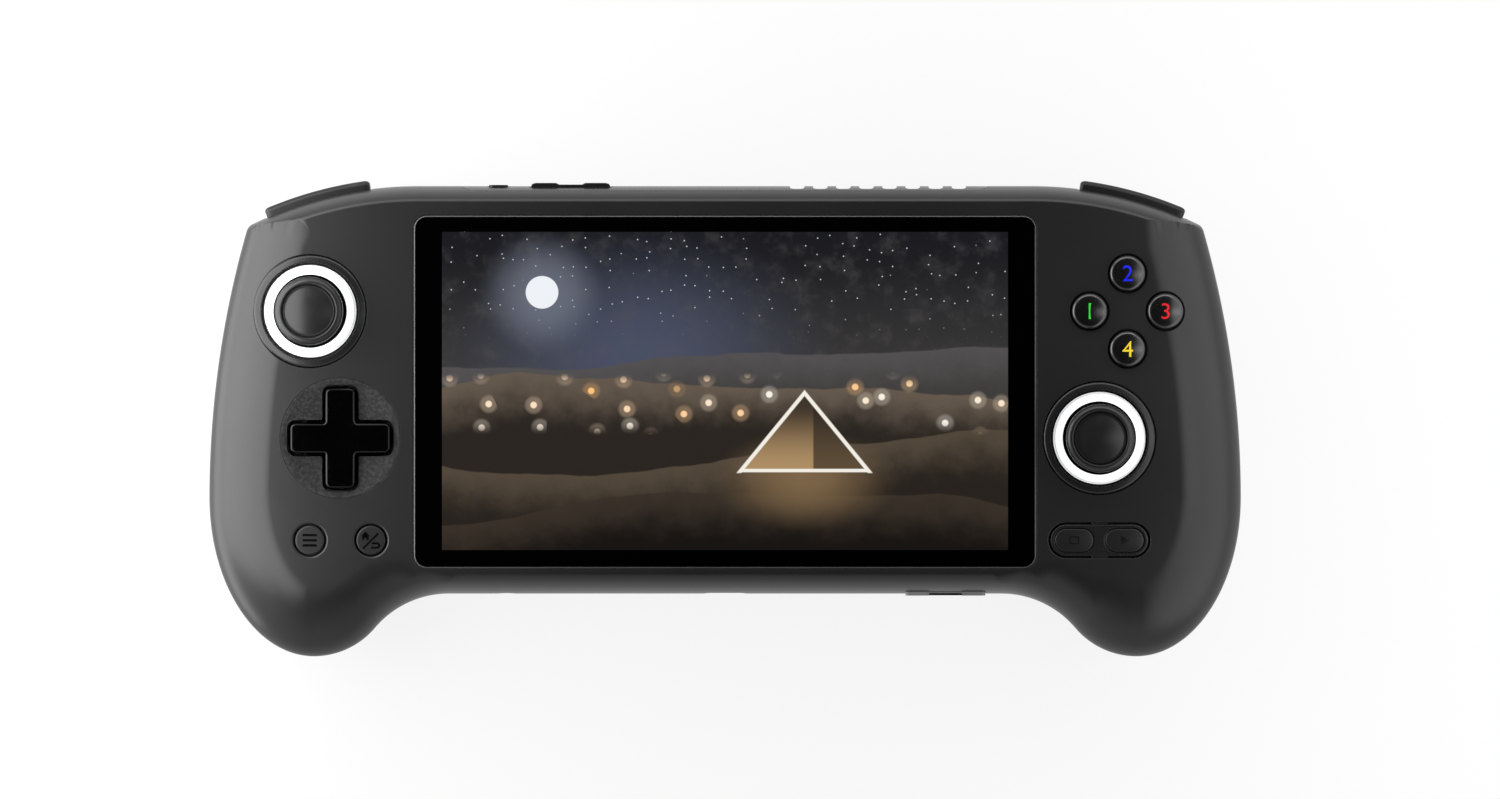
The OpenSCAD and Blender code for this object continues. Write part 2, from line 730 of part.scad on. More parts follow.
module front_shell() {
  color([0.13, 0.13, 0.135])
    difference() {
      union() {
        front_skin();
        for (c = screw_spots)
          at(c)
            rod(screw_r + 1.6, screw_seat + 2.8, z_in + 0.3);
        for (c = stand_spots)
          at(c)
            rod(1.6, z_part, z_in + 0.2);
      }
      translate([0, glass_y, 0]) {
        slab(rrect(glass_w, glass_h, glass_r), z_face - glass_t, z_face + 1);
        slab(rrect(glass_w - 2 * ledge, glass_h - 2 * ledge, 1), z_in - 2, z_face);
      }
      at(stick_l)
        rod(bezel_r + fit, z_part - 1, z_face + 1);
      at(stick_r)
        rod(bezel_r + fit, z_part - 1, z_face + 1);
      at(pad_c)
        rod(dish_r + fit, z_part - 1, z_face + 1);
      for (q = [0 : 3])
        at(face_c + face_pitch * [cos(90 * q), sin(90 * q)]) {
          rod(face_r + key_gap, z_part - 1, z_face + 1);
          rod(face_r + key_flange + key_seat, z_part - 1, z_in);
        }
      for (c = [menu_c, home_c])
        at(c) {
          rod(round_r + key_gap, z_part - 1, z_face + 1);
          rod(round_r + key_flange + key_seat, z_part - 1, z_in);
        }
      at(pill_c) {
        slab(rrect(pill_len + 2 * key_gap, pill_h + 2 * key_gap, pill_h / 2 + key_gap), z_part, z_face + 1);
        slab(rrect(pill_len + 2 * key_lip, pill_h + 2 * key_lip, pill_h / 2 + key_lip), z_part, z_in);
      }
      for (c = screw_spots)
        at(c)
          rod(screw_r + run, z_part - 2, screw_tip);
      edge_cuts();
    }
}

module rear_shell() {
  color([0.12, 0.12, 0.125])
    difference() {
      union() {
        rear_skin();
        for (c = screw_spots)
          at(c)
            rear_boss(c);
        shoulder()
          rotate([0, 0, tab_a])
            translate([0, tab_r, 0])
              rod(1.7, z_back + 1.6, z_back + 4.2);
        mirror([1, 0, 0])
          shoulder()
            rotate([0, 0, tab_a])
              translate([0, tab_r, 0])
                rod(1.7, z_back + 1.6, z_back + 4.2);
      }
      for (c = screw_spots)
        at(c) {
          rod(head_r + 0.4, -1, screw_seat);
          rod(screw_r + fit, screw_seat - 1, z_part);
        }
      both()
        shoulder() {
          sweep_box(barrel_y - 2.4, bumper_r + 2, -1, z_bumper, -trigger_half - 0.7, trigger_half + 0.7);
          rotate([0, 0, tab_a])
            translate([0, tab_r, 0])
              rod(bumper_pin_r + run, z_back + 2.9, z_part);
        }
      edge_cuts();
      for (i = [-4 : 4])
        let (h = sqrt(pow(fan_r - 3, 2) - pow(3.2 * i, 2)))
        translate([fan_x + 3.2 * i, fan_y, 0])
          slab(rrect(1.6, 2 * h, 0.79, 4), z_back - 1, z_floor + 1);
      for (s = [-1, 1])
        for (i = [-3 : 3])
          translate([s * speaker_x + 2.1 * i, -bottom_y, z_back + 3.6])
            rotate([90, 0, 0])
              rod(0.65, -wall - 1.5, 2);
    }
}

// Top panel: the body's own edge section run along X, cut to a round-ended strip
function front_in(z) = let (h = (z - z_rim_f) / (z_face - z_rim_f))
  edge_top * (1 - pow(1 - pow(h, 1 / edge_full), 1 / edge_soft));
function rear_in(z) = let (h = (z_rim_r - z) / (z_rim_r - z_back))
  rear_roll_top * (1 - sqrt(1 - h * h));
z_strip_top = z_rim_f + 0.62 * (z_face - z_rim_f);
z_strip_low = z_rim_r - 0.6 * (z_rim_r - z_back);

module strip_block(grow, y0, y1) {
  translate([0, y1, (z_strip_top + z_strip_low) / 2])
    rotate([90, 0, 0])
      slab(rrect(strip_len + 2 * grow, z_strip_top - z_strip_low + 2 * grow, strip_r + grow, 6), 0, y1 - y0);
}

module top_panel() {
  inside = top_y - wall - 0.4;
  z_mid = z_key;
  color([0.1, 0.1, 0.105])
    difference() {
      union() {
        intersection() {
          strip_block(0, inside, top_y + 1);
          rotate([90, 0, 90])
            slab(concat(
              [[inside, z_strip_low], [inside, z_strip_top]],
              [for (i = [0 : 10]) let (z = lerp(z_strip_top, z_rim_f, i / 10)) [top_y - front_in(z), z]],
              [for (i = [0 : 10]) let (z = lerp(z_rim_r, z_strip_low, i / 10)) [top_y - rear_in(z), z]]
            ), -strip_len, strip_len);
        }
        for (s = [-1, 1])
          translate([-rocker_x, 0, z_mid + s * (top_key_h / 2 + 0.95)])
            block(-1.9, 1.9, inside - 3.15, inside + 0.3, -0.45, 0.45);
      }
      for (i = [0 : vents - 1])
        translate([vent_x + (i - (vents - 1) / 2) * vent_pitch, 0, z_part + 0.5])
          rotate([90, 0, 0])
            slab(rrect(vent_w, 7, 1, 4), -top_y - 2, 2 - inside);
      translate([-power_x, 0, z_mid])
        rotate([90, 0, 0])
          slab(rrect(power_len + 2 * key_gap, top_key_h + 2 * key_gap, 1.2, 5), -top_y - 2, 2 - inside);
      translate([-rocker_x, 0, z_mid])
        rotate([90, 0, 0])
          slab(rrect(rocker_len + 2 * key_gap + 0.2, top_key_h + 2 * key_gap, 0.5, 5), -top_y - 2, 1 - inside);
      translate([-rocker_x, inside - 1.2, 0])
        rod(bumper_pin_r + 0.02, z_mid - 5, z_mid + 5);
    }
}

module screen_glass() {
  color([0.02, 0.02, 0.022])
    translate([0, glass_y, 0])
      slab(rrect(glass_w - 2 * glass_gap, glass_h - 2 * glass_gap, glass_r - glass_gap), z_face - glass_t, z_face);
}

module display_panel() {
  color([0.05, 0.05, 0.07])
    translate([0, glass_y, 0])
      slab(rrect(glass_w - 2 * ledge - 2 * glass_gap, glass_h - 2 * ledge - 2 * glass_gap, 0.8),
        z_frame + frame_t, z_face - glass_t);
}

frame_w = glass_w - 2 * ledge + 2 * frame_rim + 2 * glass_gap;
frame_h = glass_h - 2 * ledge + 2 * frame_rim + 2 * glass_gap;
main_spots = [
  [6, 10.7 - bottom_y], [board_out - 4, 10.7 - bottom_y], [5 - arm_out, 10.7 - bottom_y],
  [6, top_y - 12], [board_out - 4, top_y - 12]
];

module mid_frame() {
  color([0.5, 0.5, 0.52]) {
    difference() {
      translate([0, glass_y, 0])
        slab(rrect(frame_w, frame_h, 1.5), z_frame, z_in - fit);
      translate([0, glass_y, 0])
        slab(rrect(frame_w - 2 * frame_rim, frame_h - 2 * frame_rim, 0.9), z_frame + frame_t, z_in + 1);
    }
    for (c = main_spots)
      at(c)
        rod(1.8, z_main + board_t, z_frame + 0.3);
  }
}

module main_board() {
  color([0.05, 0.2, 0.1]) {
    difference() {
      union() {
        block(2, board_out, 3.2 - bottom_y, top_y - 6, z_main, z_main + board_t);
        block(-arm_out, 3, 3.2 - bottom_y, 11.8 - bottom_y, z_main, z_main + board_t);
      }
      for (c = main_spots)
        at(c)
          rod(0.8, z_main - 1, z_main + board_t + 1);
    }
    block(board_out - 42, board_out - 28, -6, 8, z_main + board_t - 0.1, z_main + board_t + 1);
    block(board_out - 22, board_out - 10, -8, 4, z_main + board_t - 0.1, z_main + board_t + 0.8);
    block(12, 18, 14, 20, z_main + board_t - 0.1, z_main + board_t + 0.8);
  }
}

module battery() {
  color([0.16, 0.16, 0.18])
    translate([-battery_mid - battery_w / 2, top_y - battery_top - battery_h / 2, 0])
      slab(rrect(battery_w, battery_h, 2.5, 6), z_floor + 0.05, z_floor + battery_t);
}

module fan_housing() {
  z0 = z_floor + fit;
  z1 = z0 + fan_t;
  in_r = fan_r - 1.2;
  color([0.08, 0.08, 0.085]) {
    difference() {
      union() {
        at([fan_x, fan_y])
          rod(fan_r, z0, z1);
        block(fan_x - fan_r, fan_x + fan_r, fan_y, fan_y + fan_r + 3, z0, z1);
      }
      at([fan_x, fan_y])
        rod(in_r, z0 + 0.6, z1 - 0.6);
      block(fan_x - in_r, fan_x + in_r, fan_y, fan_y + fan_r + 5, z0 + 0.6, z1 - 0.6);
      at([fan_x, fan_y])
        rod(9, z0 - 1, z0 + 1);
    }
    at([fan_x, fan_y])
      rod(fan_pin_r, z0 + 1.2, z1 - 0.3);
  }
}

module fan_impeller() {
  z0 = z_floor + fit + 1;
  z1 = z0 + fan_t - 2;
  color([0.1, 0.1, 0.11])
    at([fan_x, fan_y])
      difference() {
        union() {
          rod(5.5, z0, z1);
          rod(fan_r - 2.6, z1 - 0.6, z1);
          for (i = [0 : blades - 1])
            rotate([0, 0, 360 * i / blades])
              translate([5, 0, 0])
                rotate([0, 0, 18])
                  block(0, fan_r - 8.4, -0.3, 0.3, z0, z1 - 0.3);
        }
        rod(fan_pin_r + run, z0 - 1, z1 + 1);
      }
}

module heat_sink() {
  x0 = fan_x - fan_r;
  w = 2 * fan_r;
  y0 = fan_y + fan_r + 3.6;
  color([0.7, 0.45, 0.3]) {
    block(x0, x0 + w, y0, top_y - wall - 2.5, z_main - 0.9, z_main - 0.05);
    for (i = [0 : fins - 1])
      translate([x0 + (w - 0.5) * i / (fins - 1), 0, 0])
        block(0, 0.5, y0, top_y - wall - 2.5, z_floor + 0.8, z_main - 0.8);
  }
}

module speakers() {
  color([0.09, 0.09, 0.095])
    for (s = [-1, 1])
      translate([s * speaker_x, 0, 0])
        block(-speaker_len / 2, speaker_len / 2, 5.2 - bottom_y, 11.8 - bottom_y, z_floor + fit, z_floor + 4.6);
}

module usb_c_port() {
  color([0.6, 0.6, 0.62])
    translate([0, 0.4 - bottom_y, z_usb])
      rotate([-90, 0, 0])
        difference() {
          slab(rrect(usb_w, usb_h, usb_h / 2 - 0.02), 0, 7.4);
          difference() {
            slab(rrect(usb_w - 0.7, usb_h - 0.7, usb_h / 2 - 0.36), -1, 6.6);
            block(-3.3, 3.3, -0.35, 0.35, 1, 7);
          }
        }
}

module headphone_jack() {
  color([0.07, 0.07, 0.075])
    difference() {
      union() {
        block(-jack_x - 3.2, -jack_x + 3.2, 3.4 - bottom_y, 14 - bottom_y, z_main - 4.9, z_main - 0.05);
        translate([-jack_x, 0.3 - bottom_y, z_jack])
          rotate([-90, 0, 0])
            rod(jack_r + 0.6, 0, 4);
      }
      translate([-jack_x, -bottom_y - 1, z_jack])
        rotate([-90, 0, 0])
          rod(jack_r, 0, 13);
    }
}

module card_reader() {
  color([0.62, 0.62, 0.64])
    difference() {
      block(card_x - 7.2, card_x + 7.2, 3.5 - bottom_y, 17 - bottom_y, z_main - 1.75, z_main - 0.05);
      block(card_x - 5.7, card_x + 5.7, -bottom_y, 15.5 - bottom_y, z_card - 0.45, z_card + 0.45);
    }
}

module card_frame() {
  color([0.3, 0.3, 0.31])
    translate([card_x, -bottom_y, z_card])
      rotate([90, 0, 0])
        difference() {
          slab(rrect(card_len, card_h, 0.9), -wall - 0.6, card_up);
          slab(rrect(11.6, 1.2, 0.5), -wall - 2, card_up + 1);
          slab(rrect(notch_w, card_h - 1.2, 1.2), card_up - 0.7, card_up + 1);
        }
}

module control_board(stick, keys) {
  color([0.05, 0.2, 0.1])
    difference() {
      block(half_w - 41, half_w - 11.5, 3.7 - bottom_y, top_y - 17.8, z_board, z_part - 0.01);
      at(stick)
        block(-module_w / 2 - 0.3, module_w / 2 + 0.3, -module_w / 2 - 0.3, module_w / 2 + 0.3, z_board - 1, z_part + 1);
      for (c = screw_spots)
        at(c)
          rod(head_r + 1.6, z_board - 1, z_part + 1);
    }
  color([0.6, 0.6, 0.6])
    for (c = keys)
      at(c)
        block(-1.6, 1.6, -1.6, 1.6, z_part - 0.2, z_part + 1.1);
}

module left_control_board() {
  mirror([1, 0, 0])
    control_board([-stick_l.x, stick_l.y], [[-menu_c.x, menu_c.y], [-home_c.x, home_c.y]]);
}

module right_control_board() {
  control_board(stick_r, [pill_c - [pill_pitch / 2, 0], pill_c + [pill_pitch / 2, 0]]);
}

module stick_bezel() {
  color([0.11, 0.11, 0.115])
    rotate_extrude()
      polygon([
        [bezel_r - 1.5, z_part + 0.05], [bezel_r, z_part + 0.05], [bezel_r, z_face],
        [bezel_r - 0.15, z_face + bezel_up * 0.45], [bezel_r - 0.45, z_face + bezel_up * 0.85],
        [bezel_r - 0.85, z_face + bezel_up], [bezel_r - 1.25, z_face + bezel_up * 0.85],
        [bezel_r - 1.6, z_face + bezel_up * 0.3], [light_r + fit, z_face - 0.5], [light_r + fit, z_in],
        [light_r - 0.6, z_in], [light_r - 0.6, z_in - 1], [bezel_r - 1.5, z_in - 1.8]
      ]);
}

module light_ring() {
  color([0.95, 0.96, 1])
    rotate_extrude()
      polygon([
        [light_in, z_in + 0.05], [light_r, z_in + 0.05], [light_r, z_face - 0.65],
        [light_r - 0.3, z_face - 0.4], [light_r - 0.7, z_face - 0.3], [light_in + 0.6, z_face - 0.3],
        [light_in + 0.25, z_face - 0.4], [light_in, z_face - 0.65]
      ]);
}

module stick_module() {
  z1 = z_pivot - 1.6;
  color([0.35, 0.35, 0.36])
    difference() {
      union() {
        block(-module_w / 2, module_w / 2, -module_w / 2, module_w / 2, z1 - module_h, z1);
        block(-8.4, 8.4, -8.4, 8.4, z_board - 1.05, z_board - 0.05);
        for (s = [-1, 1])
          translate([s * 6.9, 0, 0])
            block(-0.5, 0.5, -1.6, 1.6, z1 - 1, z_pivot + 1.4);
      }
      rod(6.2, z1 - 2.2, z1 + 0.1);
      translate([-10, 0, z_pivot])
        rotate([0, 90, 0])
          cylinder(r = trunnion_r + run, h = 20);
    }
}

module stick_yoke() {
  color([0.75, 0.75, 0.72])
    difference() {
      union() {
        rod(5, z_pivot - 1, z_pivot + 1);
        for (s = [-1, 1])
          translate([s * 4.2, 0, z_pivot])
            rotate([0, 90 * s, 0])
              cylinder(r = trunnion_r, h = 3);
      }
      rod(3.4, z_pivot - 2, z_pivot + 2);
      translate([0, 6, z_pivot])
        rotate([90, 0, 0])
          cylinder(r = trunnion_r - 0.1 + run, h = 12);
    }
}

module stick_stem() {
  color([0.2, 0.2, 0.2]) {
    rod(2.5, z_pivot - 1, z_pivot + 1);
    rod(stem_r, z_pivot, z_cap - cap_t - 0.4);
    translate([0, 4.6, z_pivot])
      rotate([90, 0, 0])
        cylinder(r = trunnion_r - 0.1, h = 9.2);
  }
}

module stick_cap() {
  under = z_cap - cap_t;
  crown = 0.15;
  edge = min(cap_crown_r, cap_r - 1.6);
  neck = 3.6;
  wall_d = 0.9;
  color([0.1, 0.1, 0.105])
    rotate_extrude()
      polygon(concat(
        [[0, z_cap - crown]],
        [for (i = [1 : 8]) [edge * i / 8, z_cap - crown - (cap_groove - crown) * pow(i / 8, 2)]],
        arc([cap_r - 0.8, z_cap - 0.8], 0.8, 140, 0, 8),
        arc([cap_r - 0.9, under + 0.9], 0.9, 0, -90, 6),
        [[neck, under]],
        arc([0, z_pivot], dome_r, acos(neck / dome_r), 16, 12),
        arc([0, z_pivot], dome_r - wall_d, 16, acos((stem_r + run) / (dome_r - wall_d)), 12),
        [[stem_r + run, under + 0.4], [0, under + 0.4]]
      ));
}

module left_stick_bezel() {
  at(stick_l)
    stick_bezel();
}
module right_stick_bezel() {
  at(stick_r)
    stick_bezel();
}
module left_light_ring() {
  at(stick_l)
    light_ring();
}
module right_light_ring() {
  at(stick_r)
    light_ring();
}
module left_stick_module() {
  at(stick_l)
    stick_module();
}
module right_stick_module() {
  at(stick_r)
    stick_module();
}
module left_stick_yoke() {
  at(stick_l)
    stick_yoke();
}
module right_stick_yoke() {
  at(stick_r)
    stick_yoke();
}
module left_stick_stem() {
  at(stick_l)
    stick_stem();
}
module right_stick_stem() {
  at(stick_r)
    stick_stem();
}
module left_stick_cap() {
  at(stick_l)
    stick_cap();
}
module right_stick_cap() {
  at(stick_r)
    stick_cap();
}

module d_pad_dish() {
  color([0.11, 0.11, 0.115])
    at(pad_c)
      difference() {
        rotate_extrude()
          polygon(concat(
            [[0, z_in], [dish_r - 1.6, z_in], [dish_r - 1.6, z_in - 1.45], [dish_r + 1.2, z_in - 1.45],
              [dish_r + 1.2, z_in - 0.85], [dish_r, z_in - 0.85], [dish_r, z_face]],
            [for (i = [12 : -1 : 0]) let (r = (dish_r - 0.35) * i / 12)
              [r, z_face - dish_depth * (1 - pow(i / 12, 2))]]
          ));
        slab(cross_line(pad_len + 2 * pad_gap, pad_arm + 2 * pad_gap, pad_corner + pad_gap, 0.4), z_in - 2, z_face + 1);
      }
}

module d_pad() {
  top = z_face + pad_up;
  color([0.04, 0.04, 0.042])
    at(pad_c)
      difference() {
        union() {
          stack([for (q = [[0, z_in - 1.4], [0, top - 0.7], [0.1, top - 0.35], [0.3, top - 0.1], [0.6, top]])
            at_z(cross_line(pad_len - 2 * q[0], pad_arm - 2 * q[0], pad_corner - q[0], 0.6 + q[0]), q[1])]);
          rod(8, z_ball + 0.8, z_in - 1.3);
        }
        translate([0, 0, z_ball])
          sphere(r = ball_r + run);
        translate([0, 0, top + 26])
          sphere(r = 26.35);
      }
}

module d_pad_ball() {
  color([0.7, 0.7, 0.72])
    at(pad_c)
      translate([0, 0, z_ball])
        sphere(r = ball_r);
}

module d_pad_post() {
  color([0.3, 0.3, 0.31])
    at(pad_c)
      difference() {
        rod(3, z_part, z_ball - 0.8);
        translate([0, 0, z_ball])
          sphere(r = ball_r + run);
      }
}

module d_pad_membrane() {
  color([0.6, 0.62, 0.65])
    at(pad_c)
      difference() {
        union() {
          rod(11, z_part + 0.02, z_part + 0.9);
          for (q = [0 : 3])
            rotate([0, 0, 90 * q])
              translate([7.3, 0, z_part + 0.8])
                cylinder(r1 = 2.6, r2 = 1.6, h = 1.6);
        }
        rod(3.2, z_part - 1, z_part + 3);
      }
}

module face_button_membrane() {
  color([0.6, 0.62, 0.65])
    at(face_c) {
      block(-face_pitch, face_pitch, -2.5, 2.5, z_part + 0.02, z_part + 0.9);
      block(-2.5, 2.5, -face_pitch, face_pitch, z_part + 0.02, z_part + 0.9);
      for (q = [0 : 3])
        rotate([0, 0, 90 * q])
          translate([face_pitch, 0, 0]) {
            rod(5.2, z_part + 0.02, z_part + 0.9);
            translate([0, 0, z_part + 0.8])
              cylinder(r1 = 4, r2 = 2.6, h = z_in - 3.1 - z_part - 0.8);
          }
    }
}

module face_button(q) {
  top = z_face + face_up;
  color([0.05, 0.05, 0.052])
    at(face_c + face_pitch * [cos(90 * q), sin(90 * q)])
      rotate_extrude()
        polygon(concat(
          [[0, z_in - 3.1 + face_travel + 0.1], [2.4, z_in - 3.1 + face_travel + 0.1], [2.4, z_in - 1.1],
            [face_r + key_flange, z_in - 1.1], [face_r + key_flange, z_in - 0.15], [face_r, z_in - 0.15]],
          arc([face_r - 0.9, top - 1.2], 0.9, 0, 62, 6),
          [for (i = [5 : -1 : 0]) [(face_r - 0.9) * i / 6, top - 0.3 * pow(i / 6, 2)]]
        ));
}

module top_button() {
  face_button(1);
}
module right_button() {
  face_button(0);
}
module bottom_button() {
  face_button(3);
}
module left_button() {
  face_button(2);
}

module round_button(c) {
  color([0.06, 0.06, 0.062])
    at(c)
      rotate_extrude()
        polygon(concat(
          [[0, z_part + 1.2 + small_travel], [1.6, z_part + 1.2 + small_travel], [1.6, z_in - 0.9],
            [round_r + key_flange, z_in - 0.9], [round_r + key_flange, z_in - 0.15], [round_r, z_in - 0.15]],
          arc([round_r - 0.35, z_face - 0.3], 0.35, 0, 90, 5),
          [[0, z_face + 0.05]]
        ));
}

module menu_button() {
  round_button(menu_c);
}
module home_button() {
  round_button(home_c);
}

module select_start_bezel() {
  color([0.1, 0.1, 0.105])
    at(pill_c)
      difference() {
        union() {
          slab(rrect(pill_len, pill_h, pill_h / 2 - 0.02), z_in - 0.8, z_face);
          slab(rrect(pill_len + 2 * key_flange, pill_h + 2 * key_flange, pill_h / 2 + key_flange - 0.02), z_in - 0.8, z_in - fit);
        }
        for (s = [-1, 1])
          translate([s * pill_pitch / 2, 0, 0])
            slab(rrect(key_len + key_gap, key_h + key_gap, key_h / 2 + key_gap / 2 - 0.02), z_in - 2, z_face + 1);
      }
}

module pill_button(s) {
  top = z_face + 0.15;
  color([0.07, 0.07, 0.072])
    at(pill_c + [s * pill_pitch / 2, 0]) {
      stack([for (q = [[0, z_in - 1.2], [0, top - 0.4], [0.1, top - 0.15], [0.35, top]])
        at_z(rrect(key_len - 2 * q[0], key_h - 2 * q[0], key_h / 2 - 0.02 - q[0], 6), q[1])]);
      slab(rrect(key_len + 1.6, key_h + 1.4, key_h / 2 + 0.5), z_in - 1.7, z_in - 1);
      rod(1.5, z_part + 1.2 + small_travel, z_in - 1.2);
    }
}

module select_button() {
  pill_button(-1);
}
module start_button() {
  pill_button(1);
}

module power_button() {
  inside = top_y - wall - 0.4;
  color([0.16, 0.16, 0.165])
    translate([-power_x, 0, z_key])
      rotate([90, 0, 0]) {
        slab(rrect(power_len, top_key_h, 1, 6), -top_y - 0.2, -inside + 0.4);
        slab(rrect(power_len + 1.4, top_key_h + 1.2, 0.8, 4), -inside + 0.15, -inside + 0.9);
        rod(1, -inside + 0.5, -inside + 1.6);
      }
}

module volume_rocker() {
  inside = top_y - wall - 0.4;
  h = rocker_len / 2;
  t = top_y + rocker_up;
  color([0.2, 0.2, 0.205])
    translate([-rocker_x, 0, z_key])
      difference() {
        union() {
          slab([
            [-h, inside + 0.4], [h, inside + 0.4], [h, t - 0.75], [h - 0.3, t - 0.2], [h - 1, t],
            [h - 5.4, t], [h - 6.1, t - 0.35], [6.1 - h, t - 0.35], [5.4 - h, t], [1 - h, t],
            [0.3 - h, t - 0.2], [-h, t - 0.75]
          ], -top_key_h / 2, top_key_h / 2);
          block(-1.5, 1.5, inside - 1.2, inside + 1, -1.4, 1.4);
          translate([0, inside - 1.2, 0])
            rod(1.5, -1.4, 1.4);
          for (s = [-1, 1])
            translate([6 * s, 0, 0])
              block(-0.8, 0.8, inside - 1.7, inside + 1, -1, 1);
        }
        translate([0, inside - 1.2, 0])
          rod(bumper_pin_r + run, -3, 3);
      }
}

module volume_pin() {
  inside = top_y - wall - 0.4;
  color([0.7, 0.7, 0.72])
    translate([-rocker_x, inside - 1.2, z_key])
      rod(bumper_pin_r, -top_key_h / 2 - 1.4, top_key_h / 2 + 1.4);
}

module top_key_board() {
  inside = top_y - wall - 0.4;
  y1 = inside - 3.2;
  color([0.05, 0.2, 0.1])
    block(-power_x - 3.4, -rocker_x + 9, y1 - 0.8, y1, z_key - 3.2, z_key + 3.2);
  color([0.6, 0.6, 0.6])
    for (x = [-power_x, -rocker_x - 6, -rocker_x + 6])
      translate([x, 0, z_key])
        block(-1.5, 1.5, y1 - 0.2, y1 + 0.9, -1.2, 1.2);
}

module bumper() {
  r0 = bumper_in;
  r1 = bumper_r;
  z0 = z_bumper;
  z1 = z_bumper + bumper_h;
  color([0.12, 0.12, 0.125])
    shoulder()
      difference() {
        union() {
          sweep(concat(
            [[r0, z1], [r0, z0]],
            arc([r1 - 0.9, z0 + 0.9], 0.9, -90, 0, 5),
            arc([r1 - 1.1, z1 - 1.1], 1.1, 0, 90, 6)
          ), -bumper_half, bumper_half);
          sweep_box(tab_r - 1.1, r0 + 0.6, z_part - 2.4, z_part, -tab_a - 1.3, 4 - bumper_half);
        }
        rotate([0, 0, tab_a])
          translate([0, tab_r, 0])
            rod(bumper_pin_r + run, z_part - 5, z_part + 2);
      }
}

module right_bumper() {
  bumper();
}
module left_bumper() {
  mirror([1, 0, 0])
    bumper();
}

module bumper_pins() {
  color([0.7, 0.7, 0.72])
    both()
      shoulder()
        rotate([0, 0, tab_a])
          translate([0, tab_r, 0])
            rod(bumper_pin_r, z_back + 3, z_part + 1.5);
}

// Finger lever of the trigger as a section of radius and height
function lever() = let (r = shoulder_r, z = trigger_tip, t = z_bumper - 0.5, h = t - z) cut_corners(cut_corners([
  [r - 5.2, t], [r - 2, t], [r + 0.5, t], [r + 0.2, z + 0.72 * h], [r - 0.4, z + 0.45 * h],
  [r + 0.2, z + 0.24 * h], [r + 1.5, z + 0.06 * h], [r + 1.1, z - 0.1], [r - 0.6, z + 0.02 * h],
  [r - 3, z + 0.22 * h], [r - 4.5, z + 0.46 * h], [r - 5.1, z + 0.66 * h], [r - 5.2, z + 0.8 * h]
]));

module trigger() {
  t = z_bumper - 0.5;
  color([0.09, 0.09, 0.095])
    shoulder()
      difference() {
        union() {
          intersection() {
            sweep(lever(), -trigger_half, trigger_half);
            translate([0, 0, trigger_tip + 14.7])
              rotate([90, 0, 0])
                slab(rrect(2 * shoulder_r * sin(trigger_half), 30, trigger_corner, 10), -shoulder_r - 4, 8 - shoulder_r);
          }
          translate([-8.3, barrel_y, z_barrel])
            rotate([0, 90, 0])
              cylinder(r = barrel_r, h = 13.3);
          block(-8.3, 5, barrel_y + 0.8, shoulder_r - 4.5, t - 2.6, t - 0.2);
        }
        translate([-12, barrel_y, z_barrel])
          rotate([0, 90, 0])
            cylinder(r = trigger_pin_r + run, h = 24);
      }
}

module right_trigger() {
  trigger();
}
module left_trigger() {
  mirror([1, 0, 0])
    trigger();
}

module trigger_bracket() {
  color([0.2, 0.2, 0.21])
    shoulder()
      difference() {
        union() {
          block(-9.9, 9.9, barrel_y - 4.2, barrel_y - 2.6, z_floor + 0.05, z_barrel + 2.3);
          for (s = [-1, 1])
            translate([9.25 * s, 0, 0])
              block(-0.65, 0.65, barrel_y - 3, barrel_y + 1.8, z_barrel - 1.8, z_barrel + 1.8);
          block(6.4, 9.9, barrel_y - 3, barrel_y + 2.7, z_barrel + 2.25, z_barrel + 3.3);
          block(6.9, 9.4, barrel_y + 1.9, barrel_y + 2.7, z_barrel + 2.3, z_barrel + 4);
        }
        translate([-12, barrel_y, z_barrel])
          rotate([0, 90, 0])
            cylinder(r = trigger_pin_r + 0.02, h = 24);
      }
}

module right_trigger_bracket() {
  trigger_bracket();
}
module left_trigger_bracket() {
  mirror([1, 0, 0])
    trigger_bracket();
}

module trigger_pins() {
  color([0.7, 0.7, 0.72])
    both()
      shoulder()
        translate([-9.9, barrel_y, z_barrel])
          rotate([0, 90, 0])
            cylinder(r = trigger_pin_r, h = 19.8);
}

module coil(r, wire, pitch, turns, n, k) {
  stack([
    for (i = [0 : n * turns])
      let (a = 360 * i / n)
      [for (j = [0 : k - 1]) let (b = -360 * j / k, q = r + wire / 2 * cos(b))
        [q * cos(a), q * sin(a), pitch * i / n + wire / 2 * sin(b)]]
  ]);
}

module trigger_springs() {
  color([0.75, 0.75, 0.77])
    both()
      shoulder()
        translate([5.6, barrel_y, z_barrel])
          rotate([0, 90, 0])
            coil(trigger_pin_r + 0.2 + spring_wire / 2, spring_wire, spring_wire + 0.2, 3, 14, 6);
}

module case_screws() {
  color([0.3, 0.3, 0.31])
    for (c = screw_spots)
      at(c)
        difference() {
          union() {
            rod(head_r, screw_seat - head_t, screw_seat);
            rod(screw_r, screw_seat - 0.1, screw_tip - 0.4);
          }
          block(-0.95, 0.95, -0.25, 0.25, screw_seat - head_t - 1, screw_seat - head_t + 0.7);
          block(-0.25, 0.25, -0.95, 0.95, screw_seat - head_t - 1, screw_seat - head_t + 0.7);
        }
}

